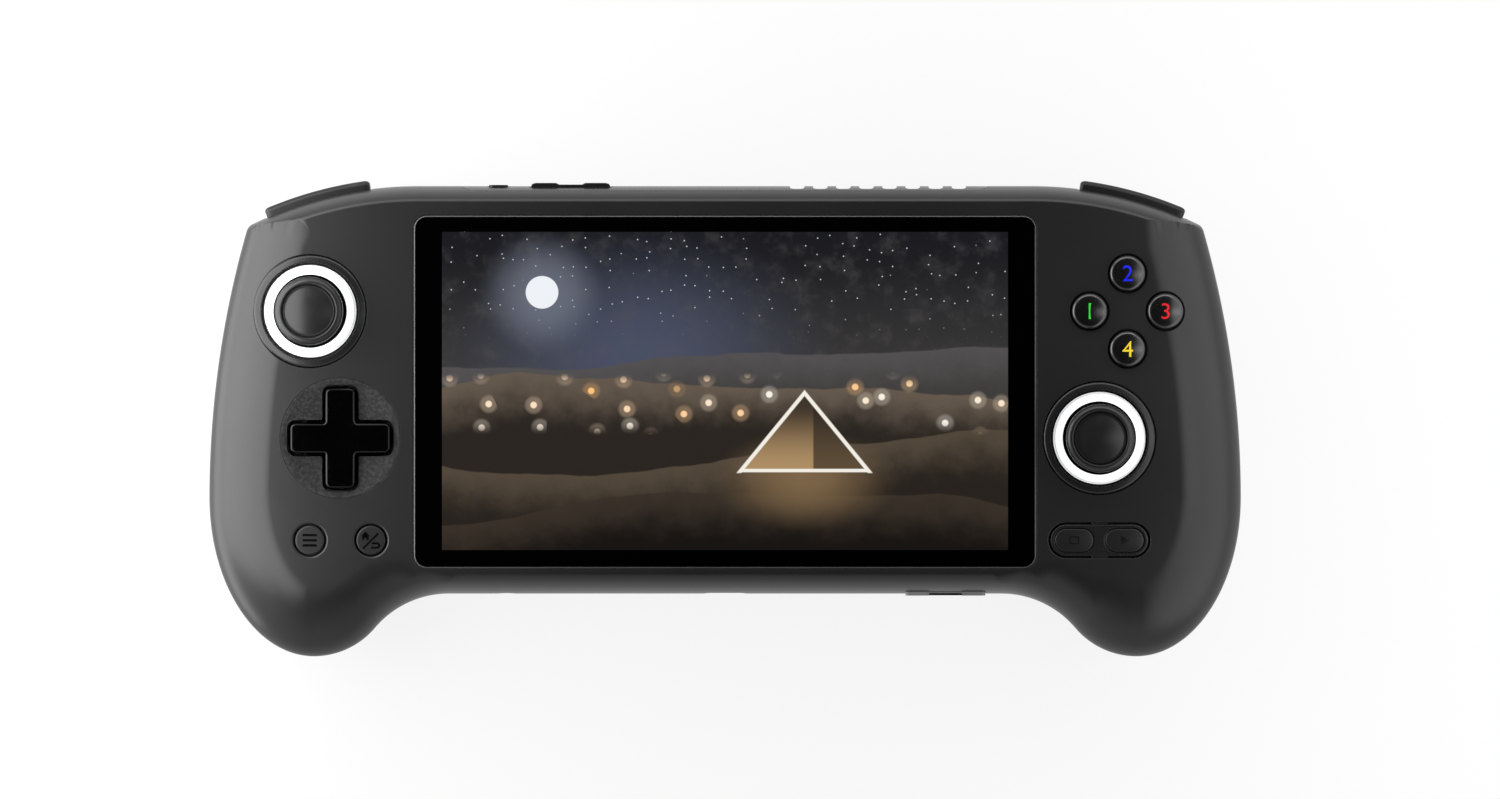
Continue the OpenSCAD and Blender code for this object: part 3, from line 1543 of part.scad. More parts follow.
front_shell();
rear_shell();
top_panel();
screen_glass();
display_panel();
mid_frame();
main_board();
battery();
fan_housing();
fan_impeller();
heat_sink();
speakers();
usb_c_port();
headphone_jack();
card_reader();
card_frame();
left_control_board();
right_control_board();
left_stick_bezel();
right_stick_bezel();
left_light_ring();
right_light_ring();
left_stick_module();
right_stick_module();
left_stick_yoke();
right_stick_yoke();
left_stick_stem();
right_stick_stem();
left_stick_cap();
right_stick_cap();
d_pad_dish();
d_pad();
d_pad_ball();
d_pad_post();
d_pad_membrane();
face_button_membrane();
top_button();
right_button();
bottom_button();
left_button();
menu_button();
home_button();
select_start_bezel();
select_button();
start_button();
power_button();
volume_rocker();
volume_pin();
top_key_board();
left_bumper();
right_bumper();
bumper_pins();
left_trigger();
right_trigger();
left_trigger_bracket();
right_trigger_bracket();
trigger_pins();
trigger_springs();
case_screws();
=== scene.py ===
import bpy
import bmesh
import json
import math
import numpy as np
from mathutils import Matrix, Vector
from mathutils.geometry import delaunay_2d_cdt


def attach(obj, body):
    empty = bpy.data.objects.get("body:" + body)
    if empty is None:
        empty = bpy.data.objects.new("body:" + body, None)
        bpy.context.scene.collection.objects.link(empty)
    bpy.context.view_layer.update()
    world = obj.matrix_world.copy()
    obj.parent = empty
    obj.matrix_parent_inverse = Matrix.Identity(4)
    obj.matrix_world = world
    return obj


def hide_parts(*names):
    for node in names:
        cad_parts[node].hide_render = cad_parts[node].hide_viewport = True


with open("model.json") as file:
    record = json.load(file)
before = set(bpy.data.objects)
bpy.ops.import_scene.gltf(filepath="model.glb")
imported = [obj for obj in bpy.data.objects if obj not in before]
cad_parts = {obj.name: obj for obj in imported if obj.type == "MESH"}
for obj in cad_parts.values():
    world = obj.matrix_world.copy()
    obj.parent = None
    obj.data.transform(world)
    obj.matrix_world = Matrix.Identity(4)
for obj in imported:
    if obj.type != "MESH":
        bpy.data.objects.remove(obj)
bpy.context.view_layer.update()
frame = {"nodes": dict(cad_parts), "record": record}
scene = bpy.context.scene
MM = 0.001

# Sizes, in millimetres
HALF_W, TOP, BOTTOM, TIP = 111.0, 50.0, 37.7, 51.2
Z_BACK, Z_PART, Z_FACE, WALL, SEAM = 14.0, 21.0, 29.5, 2.0, 0.2
Z_IN, Z_FLOOR = Z_FACE - WALL, Z_BACK + WALL
Z_RIM_F, Z_RIM_R = Z_PART + SEAM / 2, Z_PART - SEAM / 2
SHOULDER_X, SHOULDER_R, CORNER_R = 66.0, 82.0, 2.5
SIDE_R, WIDEST, TIP_IN, PALM_R, HOLLOW_R = 209.0, 17.0, 22.5, 17.2, 20.9
GRIP_DEPTH, GRIP_W, FLANK_W, FADE_Y, FADE_LEN = 14.0, 49.0, 22.0, 40.0, 28.0
FRONT_ROLL, FRONT_PALM = (3.7, 13.4, 16.0), (4.7, 10.35, 16.0)
REAR_ROLL, REAR_PALM = (6.0, 18.0, 18.0), (5.0, 12.0, 18.0)
EDGE_SOFT, EDGE_FULL = 1.7, 0.62
GLASS_W, GLASS_H, GLASS_Y, GLASS_R, GLASS_T, LEDGE = 133.8, 75.9, 5.7, 3.0, 1.0, 3.2
GLASS_GAP, GLASS_BEVEL = 0.08, 0.34
PICTURE_W, PICTURE_H, PICTURE_Y = 121.3, 68.2, 5.9
STICK_L, STICK_R = (-88.95, 23.0), (80.25, -4.2)
PAD, FACE = (-82.45, -4.2), (86.25, 23.0)
MENU, HOME, PILL = (-89.0, -26.1), (-75.9, -26.1), (80.25, -26.1)
BEZEL_R, LIGHT_R, LIGHT_IN, FIT = 12.1, 9.9, 7.85, 0.1
CAP_R, CAP_UP, CAP_T, CAP_CROWN_R, CAP_GROOVE, CAP_CROWN, DOME_R = 7.3, 7.0, 3.5, 5.7, 0.95, 0.05, 9.0
Z_PIVOT, STEM_R, RUN = Z_FACE - 7.0, 1.75, 0.05
DISH_R, DISH_DEPTH = 12.85, 0.9
PAD_LEN, PAD_ARM, PAD_UP, PAD_CORNER, PAD_GAP, BALL_R = 21.3, 6.2, 1.6, 1.1, 0.7, 2.5
Z_BALL = Z_PART + 3.2
PITCH, FACE_R, FACE_UP, FACE_TRAVEL, KEY_GAP, FLANGE = 8.1, 3.85, 1.7, 1.0, 0.3, 1.0
ROUND_R, SMALL_TRAVEL = 3.15, 0.6
PILL_LEN, PILL_H, PILL_PITCH, KEY_LEN, KEY_H, BRIDGE = 21.3, 7.1, 10.8, 8.2, 4.9, 3.4
BUMPER_MID, BUMPER_HALF, BUMPER_UP, BUMPER_DEEP, BUMPER_H = 15.3, 8.05, 1.9, 5.5, 5.0
Z_BUMPER = Z_PART + 1.2 - BUMPER_H
BUMPER_R = SHOULDER_R + BUMPER_UP
TRIGGER_HALF, TRIGGER_TIP, TRIGGER_CORNER = 7.5, 3.0, 4.5
BARREL_R, BARREL_Y, Z_BARREL = 2.1, SHOULDER_R - 8.4, Z_BACK + 3.4
STRIP_LEN, STRIP_R, Z_STRIP_TOP, Z_STRIP_LOW = 113.2, 4.0, 26.308, 16.76
FAN, FAN_R, SLOT_PITCH, SLOT_W = (37.5, 20.0), 17.5, 3.2, 1.6
SCREWS = [(s * x, y) for s in (-1, 1) for x, y in ((69.6, 40.0), (69.6, -33.0), (92.0, -38.0))]
HEAD_R, SCREW_R, SCREW_SEAT = 1.9, 1.0, Z_BACK + 3.0
USB_W, USB_H, Z_USB = 8.9, 3.2, 20.65
JACK_X, JACK_R, Z_JACK = -47.0, 1.8, 19.8
CARD_X, CARD_LEN, CARD_H, CARD_UP, NOTCH_W, Z_CARD = 47.4, 17.2, 4.4, 0.4, 7.1, 21.4
SPEAKER_X, HOLE_PITCH, HOLE_R = 22.0, 2.1, 0.65


# Small maths
def lerp(a, b, t):
    return a + (b - a) * t


def ease(t):
    t = np.clip(t, 0, 1)
    return t * t * (3 - 2 * t)


def arc(c, r, a0, a1, n, last=True):
    turn = [math.radians(lerp(a0, a1, i / n)) for i in range(n + last)]
    return [(c[0] + r * math.cos(a), c[1] + r * math.sin(a)) for a in turn]


def circle(c, r, n):
    return arc(c, r, 0, 360, n, False)


def rrect(c, w, h, r, n=8):
    r = max(min(r, w / 2 - 1e-3, h / 2 - 1e-3), 0.05)
    x, y = w / 2 - r, h / 2 - r
    pts = []
    for sx, sy, a in ((1, 1, 0), (-1, 1, 90), (-1, -1, 180), (1, -1, 270)):
        pts += arc((c[0] + sx * x, c[1] + sy * y), r, a, a + 90, n)
    return pts


def cross_line(c, length, arm, ro, ri, n=8):
    one = arc((length / 2 - ro, ro - arm / 2), ro, -90, 0, n)
    one += arc((length / 2 - ro, arm / 2 - ro), ro, 0, 90, n)
    one += arc((arm / 2 + ri, arm / 2 + ri), ri, 270, 180, n)
    quarters = ((1, 0), (0, 1), (-1, 0), (0, -1))
    return [(c[0] + (x * k - y * s), c[1] + (x * s + y * k)) for k, s in quarters for x, y in one]


def bearing(a, b):
    return math.degrees(math.atan2(b[1] - a[1], b[0] - a[0]))


def meet(c1, r1, c2, r2):
    vx, vy = c2[0] - c1[0], c2[1] - c1[1]
    d = math.hypot(vx, vy)
    a = (r1 * r1 - r2 * r2 + d * d) / (2 * d)
    h = math.sqrt(r1 * r1 - a * a)
    return (c1[0] + vx * a / d + vy * h / d, c1[1] + vy * a / d - vx * h / d)


# The body's edge line and surfaces
SHOULDER_C = (SHOULDER_X, TOP - SHOULDER_R)
SIDE_C = (HALF_W - SIDE_R, -WIDEST)
TIP_C = (HALF_W - TIP_IN, -WIDEST)
PALM_C = (HALF_W - TIP_IN, PALM_R - TIP)
HOLLOW_DY = PALM_R - TIP + BOTTOM + HOLLOW_R
HOLLOW_C = (PALM_C[0] - math.sqrt((PALM_R + HOLLOW_R) ** 2 - HOLLOW_DY ** 2), -BOTTOM - HOLLOW_R)
CORNER_C = meet(SHOULDER_C, SHOULDER_R - CORNER_R, SIDE_C, SIDE_R - CORNER_R)
CORNER_A = bearing(SHOULDER_C, CORNER_C)
CORNER_B = bearing(SIDE_C, CORNER_C)
HOLLOW_A = bearing(HOLLOW_C, PALM_C)


def half_edge(upper, lower):
    """Right half of the body's edge, from top middle to bottom middle, with the width of its rolled side."""
    a, b, c = upper
    d, e, f = lower
    pts, roll = [], []

    def run(points, r0, r1, last=False):
        m = len(points) - 1
        for i, p in enumerate(points[:None if last else -1]):
            pts.append(p)
            roll.append(lerp(r0, r1, i / m))

    run([(SHOULDER_X * i / 33, TOP) for i in range(34)], a, a)
    run(arc(SHOULDER_C, SHOULDER_R, 90, CORNER_A, 60), a, a)
    run(arc(CORNER_C, CORNER_R, CORNER_A, CORNER_B, 12), a, b)
    run(arc(SIDE_C, SIDE_R, CORNER_B, 0, 44), b, b)
    run([(TIP_C[0] + TIP_IN * math.cos(t), TIP_C[1] + (TIP - WIDEST) * math.sin(t))
         for t in [math.radians(-90 * i / 60) for i in range(61)]], b, c)
    run(arc(PALM_C, PALM_R, 270, HOLLOW_A + 180, 50), f, e)
    run(arc(HOLLOW_C, HOLLOW_R, HOLLOW_A, 90, 28), e, d)
    run([(lerp(HOLLOW_C[0], 0, i / 30), -BOTTOM) for i in range(31)], d, d, True)
    return np.array(pts), np.array(roll)


def whole(pts, roll):
    left = pts[1:-1][::-1] * np.array([-1, 1])
    return np.vstack([pts, left]), np.concatenate([roll, roll[1:-1][::-1]])


def inward(loop):
    t = np.roll(loop, -1, 0) - np.roll(loop, 1, 0)
    t /= np.linalg.norm(t, axis=1)[:, None]
    return np.stack([t[:, 1], -t[:, 0]], 1)


def share(p, pts, roll):
    """0 at the edge, 1 where the rolled side has run out into the flat."""
    p = np.abs(np.asarray(p, float) * [1, 0]) + np.asarray(p, float) * [0, 1]
    a, b = pts[:-1], pts[1:]
    ab = b - a
    width = (roll[:-1] + roll[1:]) / 2
    out = np.empty(len(p))
    for i in range(0, len(p), 1500):
        q = p[i:i + 1500, None, :] - a[None]
        t = np.clip((q * ab).sum(2) / (ab * ab).sum(1), 0, 1)
        d = np.linalg.norm(q - t[:, :, None] * ab, axis=2)
        out[i:i + 1500] = (d / width).min(1)
    return np.clip(out, 0, 1)


def grip(p):
    return GRIP_DEPTH * ease((np.abs(p[:, 0]) - HALF_W + GRIP_W) / FLANK_W) * ease((FADE_Y - p[:, 1]) / FADE_LEN)


class Surface:
    """The outer and inner skin of one shell, as heights over the plan."""

    def __init__(self, front):
        self.front = front
        self.half, self.roll = half_edge(*((FRONT_ROLL, FRONT_PALM) if front else (REAR_ROLL, REAR_PALM)))
        self.loop, self.loop_roll = whole(self.half, self.roll)
        self.normal = inward(self.loop)
        self.in_loop = self.loop + self.normal * WALL
        self.in_half = self.in_loop[:len(self.half)]
        self.in_roll = self.roll - WALL * (0.85 if front else 1)

    def skin(self, p, half, roll, face, back):
        p = np.asarray(p, float)
        s = share(p, half, roll)
        if self.front:
            return Z_RIM_F + (face - Z_RIM_F) * (1 - (1 - s) ** EDGE_SOFT) ** EDGE_FULL
        return Z_RIM_R - (Z_RIM_R - back + grip(p)) * np.sqrt(1 - (1 - s) ** 2)

    def outer(self, p):
        return self.skin(p, self.half, self.roll, Z_FACE, Z_BACK)

    def inner(self, p):
        return self.skin(p, self.in_half, self.in_roll, Z_IN, Z_FLOOR)


def inside(p, loops):
    odd = np.zeros(len(p), bool)
    for lp in loops:
        a = np.asarray(lp, float)
        b = np.roll(a, -1, 0)
        rise = b[:, 1] - a[:, 1]
        rise[rise == 0] = 1e-12
        for i in range(0, len(p), 4000):
            x, y = p[i:i + 4000, 0][:, None], p[i:i + 4000, 1][:, None]
            hit = ((a[:, 1] > y) != (b[:, 1] > y)) & (x < a[:, 0] + (y - a[:, 1]) * (b[:, 0] - a[:, 0]) / rise)
            odd[i:i + 4000] ^= hit.sum(1) % 2 == 1
    return odd


def fill(loops, free):
    """Triangles between closed lines, through the free points: points, triangles, and where each input point went."""
    pts, edges = [], []
    for lp in loops:
        k = len(pts)
        pts += [tuple(p) for p in lp]
        edges += [(k + i, k + (i + 1) % len(lp)) for i in range(len(lp))]
    pts += [tuple(p) for p in free]
    vo, eo, fo, ov, oe, of_ = delaunay_2d_cdt([Vector((p[0], p[1])) for p in pts], edges, [], 0, 1e-7)
    where = [0] * len(pts)
    for k, src in enumerate(ov):
        for i in src:
            where[i] = k
    co = np.array([(v.x, v.y) for v in vo])
    tris = np.array([f for f in fo if len(f) == 3])
    tris = tris[inside(co[tris].mean(1), loops)]
    return co, tris, where


# Mesh building
def at_z(pts, z):
    return np.column_stack([pts, np.broadcast_to(z, len(pts))])


class Build:
    """Points and faces of one mesh, in millimetres."""

    def __init__(self):
        self.v, self.f = [], []

    def ring(self, pts):
        k = len(self.v)
        self.v += [tuple(map(float, p)) for p in pts]
        return list(range(k, len(self.v)))

    def band(self, a, b):
        n = len(a)
        for i in range(n):
            j = (i + 1) % n
            self.f.append((a[i], a[j], b[j], b[i]))

    def run(self, ids, rings):
        """Bands from one ring through the next ones; gives the last."""
        for pts in rings:
            last, ids = ids, self.ring(pts)
            self.band(last, ids)
        return ids

    def sheet(self, loops, free, height):
        """A skin between closed lines, at one height or a function's; gives each line's points."""
        co, tris, where = fill(loops, free)
        k, where = len(self.v), iter(where)
        self.ring(at_z(co, height(co) if callable(height) else height))
        self.f += (tris + k).tolist()
        return [[k + next(where) for p in lp] for lp in loops]

    def stack(self, rings, wrap=False):
        ids = [self.ring(r) for r in rings]
        for a, b in zip(ids, ids[1:]):
            self.band(a, b)
        if wrap:
            self.band(ids[-1], ids[0])
        else:
            self.f += [tuple(ids[0][::-1]), tuple(ids[-1])]
        return self

    def lathe(self, c, profile, n=96, closed=False):
        """Profile of (radius, z); radius 0 at an end closes it at the axis."""
        ids = []
        for r, z in profile:
            if r <= 1e-6:
                ids.append(self.ring([(c[0], c[1], z)]) * n)
            else:
                ids.append(self.ring([(x, y, z) for x, y in circle(c, r, n)]))
        pairs = list(zip(ids, ids[1:])) + ([(ids[-1], ids[0])] if closed else [])
        for a, b in pairs:
            for i in range(n):
                j = (i + 1) % n
                q = [a[i], a[j], b[j], b[i]]
                q = [k for m, k in enumerate(q) if k not in q[:m]]
                if len(q) > 2:
                    self.f.append(tuple(q))
        return self


def shade(ob, angle=34):
    me = ob.data
    bm = bmesh.new()
    bm.from_mesh(me)
    bmesh.ops.recalc_face_normals(bm, faces=bm.faces)
    limit = math.radians(angle)
    for fc in bm.faces:
        fc.smooth = True
    for e in bm.edges:
        e.smooth = len(e.link_faces) == 2 and e.calc_face_angle(0) < limit
    bm.to_mesh(me)
    bm.free()


def make(name, build, mat, body, nodes=(), angle=34):
    me = bpy.data.meshes.new(name)
    me.from_pydata([(x * MM, y * MM, z * MM) for x, y, z in build.v], [], build.f)
    ob = bpy.data.objects.new(name, me)
    scene.collection.objects.link(ob)
    if mat:
        me.materials.append(mat)
    shade(ob, angle)
    if body:
        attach(ob, body)
        if nodes:
            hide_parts(*nodes)
    return ob


def second(ob, mat, where):
    """A second material on the faces that the test picks out."""
    ob.data.materials.append(mat)
    for q in ob.data.polygons:
        q.material_index = 1 if where(q) else 0


def along_y(pts, y, z, x=0):
    """An outline drawn in x and z, standing at a height y."""
    return [(x + p, y, z + q) for p, q in pts]


def polar(r, a, mirror):
    """A point of the right or left shoulder's own frame: radius, and angle from the bumper's middle."""
    t = math.radians(90 - BUMPER_MID - a)
    x, y = SHOULDER_C[0] + r * math.cos(t), SHOULDER_C[1] + r * math.sin(t)
    return (-x if mirror else x), y


def swept(build, section, angles, mirror):
    """section(angle) gives (radius, z) points; the rings run round the shoulder's middle."""
    build.stack([[(*polar(r, a, mirror), z) for r, z in section(a)] for a in angles])


def span(half, n):
    return [lerp(-half, half, i / n) for i in range(n + 1)]


# Materials
class Nodes:
    """A node tree, its nodes added one call at a time."""

    def __init__(self, owner, out="ShaderNodeOutputMaterial", place="Object"):
        owner.use_nodes = True
        self.mat, self.tree = owner, owner.node_tree
        self.tree.nodes.clear()
        self.out = self.tree.nodes.new(out)
        self.place = self.node("ShaderNodeTexCoord").outputs[place]

    def node(self, kind, values=(), **props):
        n = self.tree.nodes.new(kind)
        for k, v in props.items():
            setattr(n, k, v)
        for k, v in dict(values).items():
            if isinstance(v, bpy.types.NodeSocket):
                self.tree.links.new(v, n.inputs[k])
            else:
                n.inputs[k].default_value = v
        return n

    def math(self, op, a, b=0.0, c=0.0, clamp=False):
        return self.node("ShaderNodeMath", {0: a, 1: b, 2: c}, operation=op, use_clamp=clamp).outputs[0]

    def add(self, a, b):
        return self.math("ADD", a, b)

    def sub(self, a, b):
        return self.math("SUBTRACT", a, b)

    def mul(self, a, b):
        return self.math("MULTIPLY", a, b)

    def size(self, a):
        return self.math("ABSOLUTE", a)

    def step(self, v, lo, hi, to0=0.0, to1=1.0):
        n = self.node("ShaderNodeMapRange", {0: v, 1: lo, 2: hi, 3: to0, 4: to1}, interpolation_type="SMOOTHSTEP")
        return n.outputs[0]

    def mix(self, fac, a, b):
        n = self.node("ShaderNodeMix", {0: fac, 6: a, 7: b}, data_type="RGBA")
        return n.outputs[2]

    def noise(self, scale, detail=2.0, rough=0.5, vec=None, dist=0.0):
        n = self.node("ShaderNodeTexNoise", {"Vector": vec or self.place, "Scale": scale, "Detail": detail,
                                             "Roughness": rough, "Distortion": dist})
        return n.outputs["Fac"]

    def bump(self, height, strength, distance):
        return self.node("ShaderNodeBump", {"Height": height, "Strength": strength, "Distance": distance}).outputs[0]

    def show(self, node):
        self.tree.links.new(node.outputs[0], self.out.inputs[0])
        return self.mat

    def shader(self, **values):
        return self.show(self.node("ShaderNodeBsdfPrincipled", {k.replace("_", " "): v for k, v in values.items()}))


def paint(name):
    return Nodes(bpy.data.materials.new(name))


def grey(v, tint=(1.0, 1.0, 1.0)):
    return (v * tint[0], v * tint[1], v * tint[2], 1.0)


def plastic(name, base, rough, grain=0.35, grain_up=0.012, spread=0.1, tint=(1.0, 1.0, 1.01), wear=0.3,
            spec=0.5, rub=0.012, speck=0.0):
    """Moulded plastic: fine spark texture, cloudy gloss, a little shine and paleness worn on to the edges."""
    m = paint(name)
    fine = m.noise(1000 / grain, 3.0, 0.6)
    cloud = m.noise(38, 2.0, 0.4)
    hand = m.noise(120, 2.0, 0.4)
    col = m.mix(m.step(cloud, 0.25, 0.75), grey(base * (1 - spread), tint), grey(base * (1 + spread), tint))
    r = m.step(fine, 0.3, 0.7, rough - rub, rough + rub)
    if wear:
        point = m.node("ShaderNodeNewGeometry").outputs["Pointiness"]
        edge = m.mul(m.step(point, 0.53, 0.62), m.step(hand, 0.35, 0.65))
        col = m.mix(m.mul(edge, wear), col, grey(base * 2.2 + 0.01, tint))
        r = m.sub(r, m.mul(edge, 0.06))
    if speck:
        col = m.mix(m.step(fine, 0.42, 0.62, speck, 0.0), col, grey(base * 0.12, tint))
    normal = m.bump(fine, 0.35, grain_up * MM)
    return m.shader(Base_Color=col, Roughness=r, Normal=normal, Specular_IOR_Level=spec)


def gloss(name, base, rough=0.07, spec=0.5, smear=1.9):
    """Polished black plastic with faint wiping marks and dust."""
    m = paint(name)
    wipe = m.noise(240, 5.0, 0.7, dist=1.2)
    dust = m.noise(2600, 2.0, 0.5)
    col = m.mix(m.step(dust, 0.62, 0.75), grey(base), grey(base * 1.8 + 0.002))
    r = m.add(m.step(wipe, 0.35, 0.7, rough, rough * smear), m.step(dust, 0.6, 0.75, 0.0, 0.08))
    return m.shader(Base_Color=col, Roughness=r, Normal=m.bump(wipe, 0.06, 0.004 * MM), Specular_IOR_Level=spec)


def rubber(name, base, rough=0.62):
    m = paint(name)
    fine = m.noise(3600, 3.0, 0.7)
    cloud = m.noise(330, 4.0, 0.6)
    col = m.mix(m.step(cloud, 0.2, 0.8), grey(base * 0.9), grey(base * 1.1))
    r = m.step(cloud, 0.2, 0.8, rough - 0.02, rough + 0.02)
    return m.shader(Base_Color=col, Roughness=r, Normal=m.bump(fine, 0.25, 0.006 * MM), Specular_IOR_Level=0.5)


def metal(name, base, rough, brushed=True, tint=(1, 1, 1)):
    m = paint(name)
    scale = (60, 4000, 4000) if brushed else (900, 900, 900)
    stretch = m.node("ShaderNodeMapping", {"Vector": m.place, "Scale": scale})
    lines = m.noise(1.0, 4.0, 0.6, vec=stretch.outputs[0])
    cloud = m.noise(140, 4.0, 0.6)
    col = m.mix(m.step(cloud, 0.3, 0.7), grey(base * 0.85, tint), grey(base, tint))
    r = m.add(m.step(lines, 0.3, 0.7, rough * 0.8, rough * 1.25), m.step(cloud, 0.4, 0.8, 0.0, 0.08))
    return m.shader(Base_Color=col, Roughness=r, Metallic=1.0, Normal=m.bump(lines, 0.15, 0.01 * MM))


def board(name):
    """Solder mask over copper runs, with the runs just showing."""
    m = paint(name)
    runs = m.node("ShaderNodeTexBrick", {"Vector": m.place, "Scale": 420.0, "Mortar Size": 0.03, "Mortar Smooth": 0.3,
                                         "Color1": (0, 0, 0, 1), "Color2": (0.2, 0.2, 0.2, 1), "Mortar": (1, 1, 1, 1)})
    cloud = m.noise(300, 3.0, 0.6)
    col = m.mix(runs.outputs["Fac"], (0.006, 0.03, 0.018, 1), (0.012, 0.055, 0.03, 1))
    r = m.step(cloud, 0.3, 0.7, 0.28, 0.42)
    return m.shader(Base_Color=col, Roughness=r, Normal=m.bump(runs.outputs["Fac"], 0.3, 0.03 * MM))


def light_ring_mat(name):
    """Frosted light guide, lit from below: even white with a little grain."""
    m = paint(name)
    cloud = m.noise(500, 3.0, 0.5)
    col = m.mix(m.step(cloud, 0.3, 0.7), (0.93, 0.95, 0.97, 1), (1, 1, 1, 1))
    return m.shader(Base_Color=col, Roughness=m.step(cloud, 0.3, 0.7, 0.35, 0.5), Emission_Color=col,
                    Emission_Strength=0.6, Normal=m.bump(cloud, 0.1, 0.01 * MM))


# Printed colour; a glow above 0 makes the print shine by itself, a painted glow with no lamp behind it.
def ink(name, colour, glow=0.0, spec=0.5):
    m = paint(name)
    cloud = m.noise(900, 3.0, 0.5)
    col = m.mix(m.step(cloud, 0.25, 0.75), tuple(c * 0.88 for c in colour[:3]) + (1,), tuple(colour[:3]) + (1,))
    return m.shader(Base_Color=col, Roughness=m.step(cloud, 0.3, 0.7, 0.25, 0.4), Emission_Color=col,
                    Emission_Strength=glow, Specular_IOR_Level=spec)


def screen(name):
    """Black cover glass with a lit picture behind it: a tent among dunes at night, made of waves, cells and noise."""
    m = paint(name)
    part = m.node("ShaderNodeSeparateXYZ", {0: m.place})
    half = PICTURE_H / 2 * MM
    u = m.math("DIVIDE", part.outputs[0], half)
    v = m.math("DIVIDE", m.sub(part.outputs[1], PICTURE_Y * MM), half)
    flat = m.node("ShaderNodeCombineXYZ", {0: u, 1: v, 2: 0.0}).outputs[0]
    low = m.noise(0.9, 4.0, 0.5, vec=flat)
    fine = m.noise(7.0, 6.0, 0.62, vec=flat)

    def wave(freq, shift, size):
        return m.mul(m.math("SINE", m.math("MULTIPLY_ADD", u, freq, shift)), size)

    def away(x, y, squash=1.0):
        du, dv = m.sub(u, x), m.sub(v, y)
        return m.math("SQRT", m.add(m.mul(m.mul(du, du), squash), m.mul(dv, dv)))

    def lights(scale, size, keep):
        """Round dots, one to a cell, and a number for each."""
        n = m.node("ShaderNodeTexVoronoi", {"Vector": flat, "Scale": scale, "Randomness": 0.9}, voronoi_dimensions="2D")
        pick = m.node("ShaderNodeSeparateColor", {0: n.outputs["Color"]})
        dot = m.step(n.outputs["Distance"], size, size * 0.6)
        return m.mul(dot, m.step(pick.outputs[0], keep, keep + 0.05)), pick.outputs[1]

    # sky: near black, a cool glow low on the left, thin cloud, stars
    sky = m.mix(m.step(v, 0.0, 1.0), (0.042, 0.04, 0.04, 1), (0.011, 0.011, 0.014, 1))
    sky = m.mix(m.step(away(-0.55, 0.25, 0.4), 0.85, 0.0, 0.0, 0.8), sky, (0.075, 0.09, 0.15, 1))
    sky = m.mix(m.mul(m.step(fine, 0.45, 0.8), 0.4), sky, (0.09, 0.085, 0.085, 1))
    star, tone = lights(13.0, 0.07, 0.55)
    sky = m.mix(m.mul(star, m.step(v, 0.3, 0.6, 0.0, 0.7)), sky, (0.75, 0.78, 0.85, 1))
    moon = away(-1.15, 0.62)
    sky = m.mix(m.step(moon, 0.42, 0.1, 0.0, 0.35), sky, (0.3, 0.33, 0.42, 1))
    sky = m.mix(m.step(moon, 0.105, 0.1), sky, (0.86, 0.88, 0.92, 1))
    picture = sky
    # dunes from far to near, each with a lit crest and a shaded foot
    layers = (
        (0.2, 1.3, 0.4, 0.07, 0.10, (0.05, 0.046, 0.044, 1), (0.085, 0.08, 0.082, 1)),
        (-0.04, 0.9, 2.1, 0.12, 0.14, (0.024, 0.019, 0.015, 1), (0.13, 0.1, 0.075, 1)),
        (-0.36, 0.7, -0.7, 0.13, 0.1, (0.021, 0.0165, 0.0125, 1), (0.085, 0.064, 0.044, 1)),
        (-0.74, 1.1, 1.2, 0.1, 0.07, (0.009, 0.007, 0.006, 1), (0.042, 0.031, 0.022, 1)),
    )
    for base, freq, shift, size, rough, foot, crest in layers:
        line = m.add(m.add(wave(freq, shift, size), base), wave(freq * 2.7, shift * 2 + 1, size * 0.3))
        line = m.add(line, m.mul(m.sub(low, 0.5), rough * 2))
        depth = m.sub(line, v)
        ripple = m.math("MULTIPLY_ADD", fine, 0.2, depth)
        col = m.mix(m.step(ripple, 0.08, 0.42), crest, foot)
        picture = m.mix(m.step(depth, -0.006, 0.006), picture, col)
    # lamps along the valley, amber and white, each in a faint halo
    band = m.step(m.size(m.add(v, 0.08)), 0.2, 0.1)
    halo, tone = lights(5.5, 0.36, 0.35)
    spot, tone = lights(5.5, 0.14, 0.35)
    warm = m.mix(tone, (1.0, 0.55, 0.2, 1), (0.95, 0.9, 0.8, 1))
    picture = m.mix(m.mul(m.mul(halo, band), 0.16), picture, warm)
    picture = m.mix(m.mul(spot, band), picture, warm)
    # the tent: two lit cloth sides, white piping on its edges, a pool of light before it
    tx, ty = m.sub(u, 0.5), m.add(v, 0.5)
    pool = away(0.5, -0.56, 0.3)
    picture = m.mix(m.step(pool, 0.34, 0.02, 0.0, 0.6), picture, (0.3, 0.19, 0.09, 1))
    slope = m.math("MULTIPLY_ADD", ty, -0.82, 0.4)
    side = m.sub(m.size(tx), slope)
    within = m.mul(m.step(side, 0.004, -0.004), m.step(ty, -0.004, 0.004))
    cloth = m.mix(m.step(ty, 0.0, 0.42), (0.42, 0.27, 0.13, 1), (0.05, 0.036, 0.024, 1))
    cloth = m.mix(m.step(tx, 0.05, 0.06, 0.0, 0.8), cloth, (0.03, 0.023, 0.017, 1))
    picture = m.mix(within, picture, cloth)
    high = m.step(m.size(m.sub(ty, 0.25)), 0.27, 0.26)
    piping = m.mul(m.step(m.size(side), 0.02, 0.01), high)
    foot_line = m.mul(m.step(m.size(ty), 0.014, 0.007), m.step(side, 0.01, 0.0))
    picture = m.mix(m.math("MAXIMUM", piping, foot_line), picture, (0.9, 0.86, 0.78, 1))
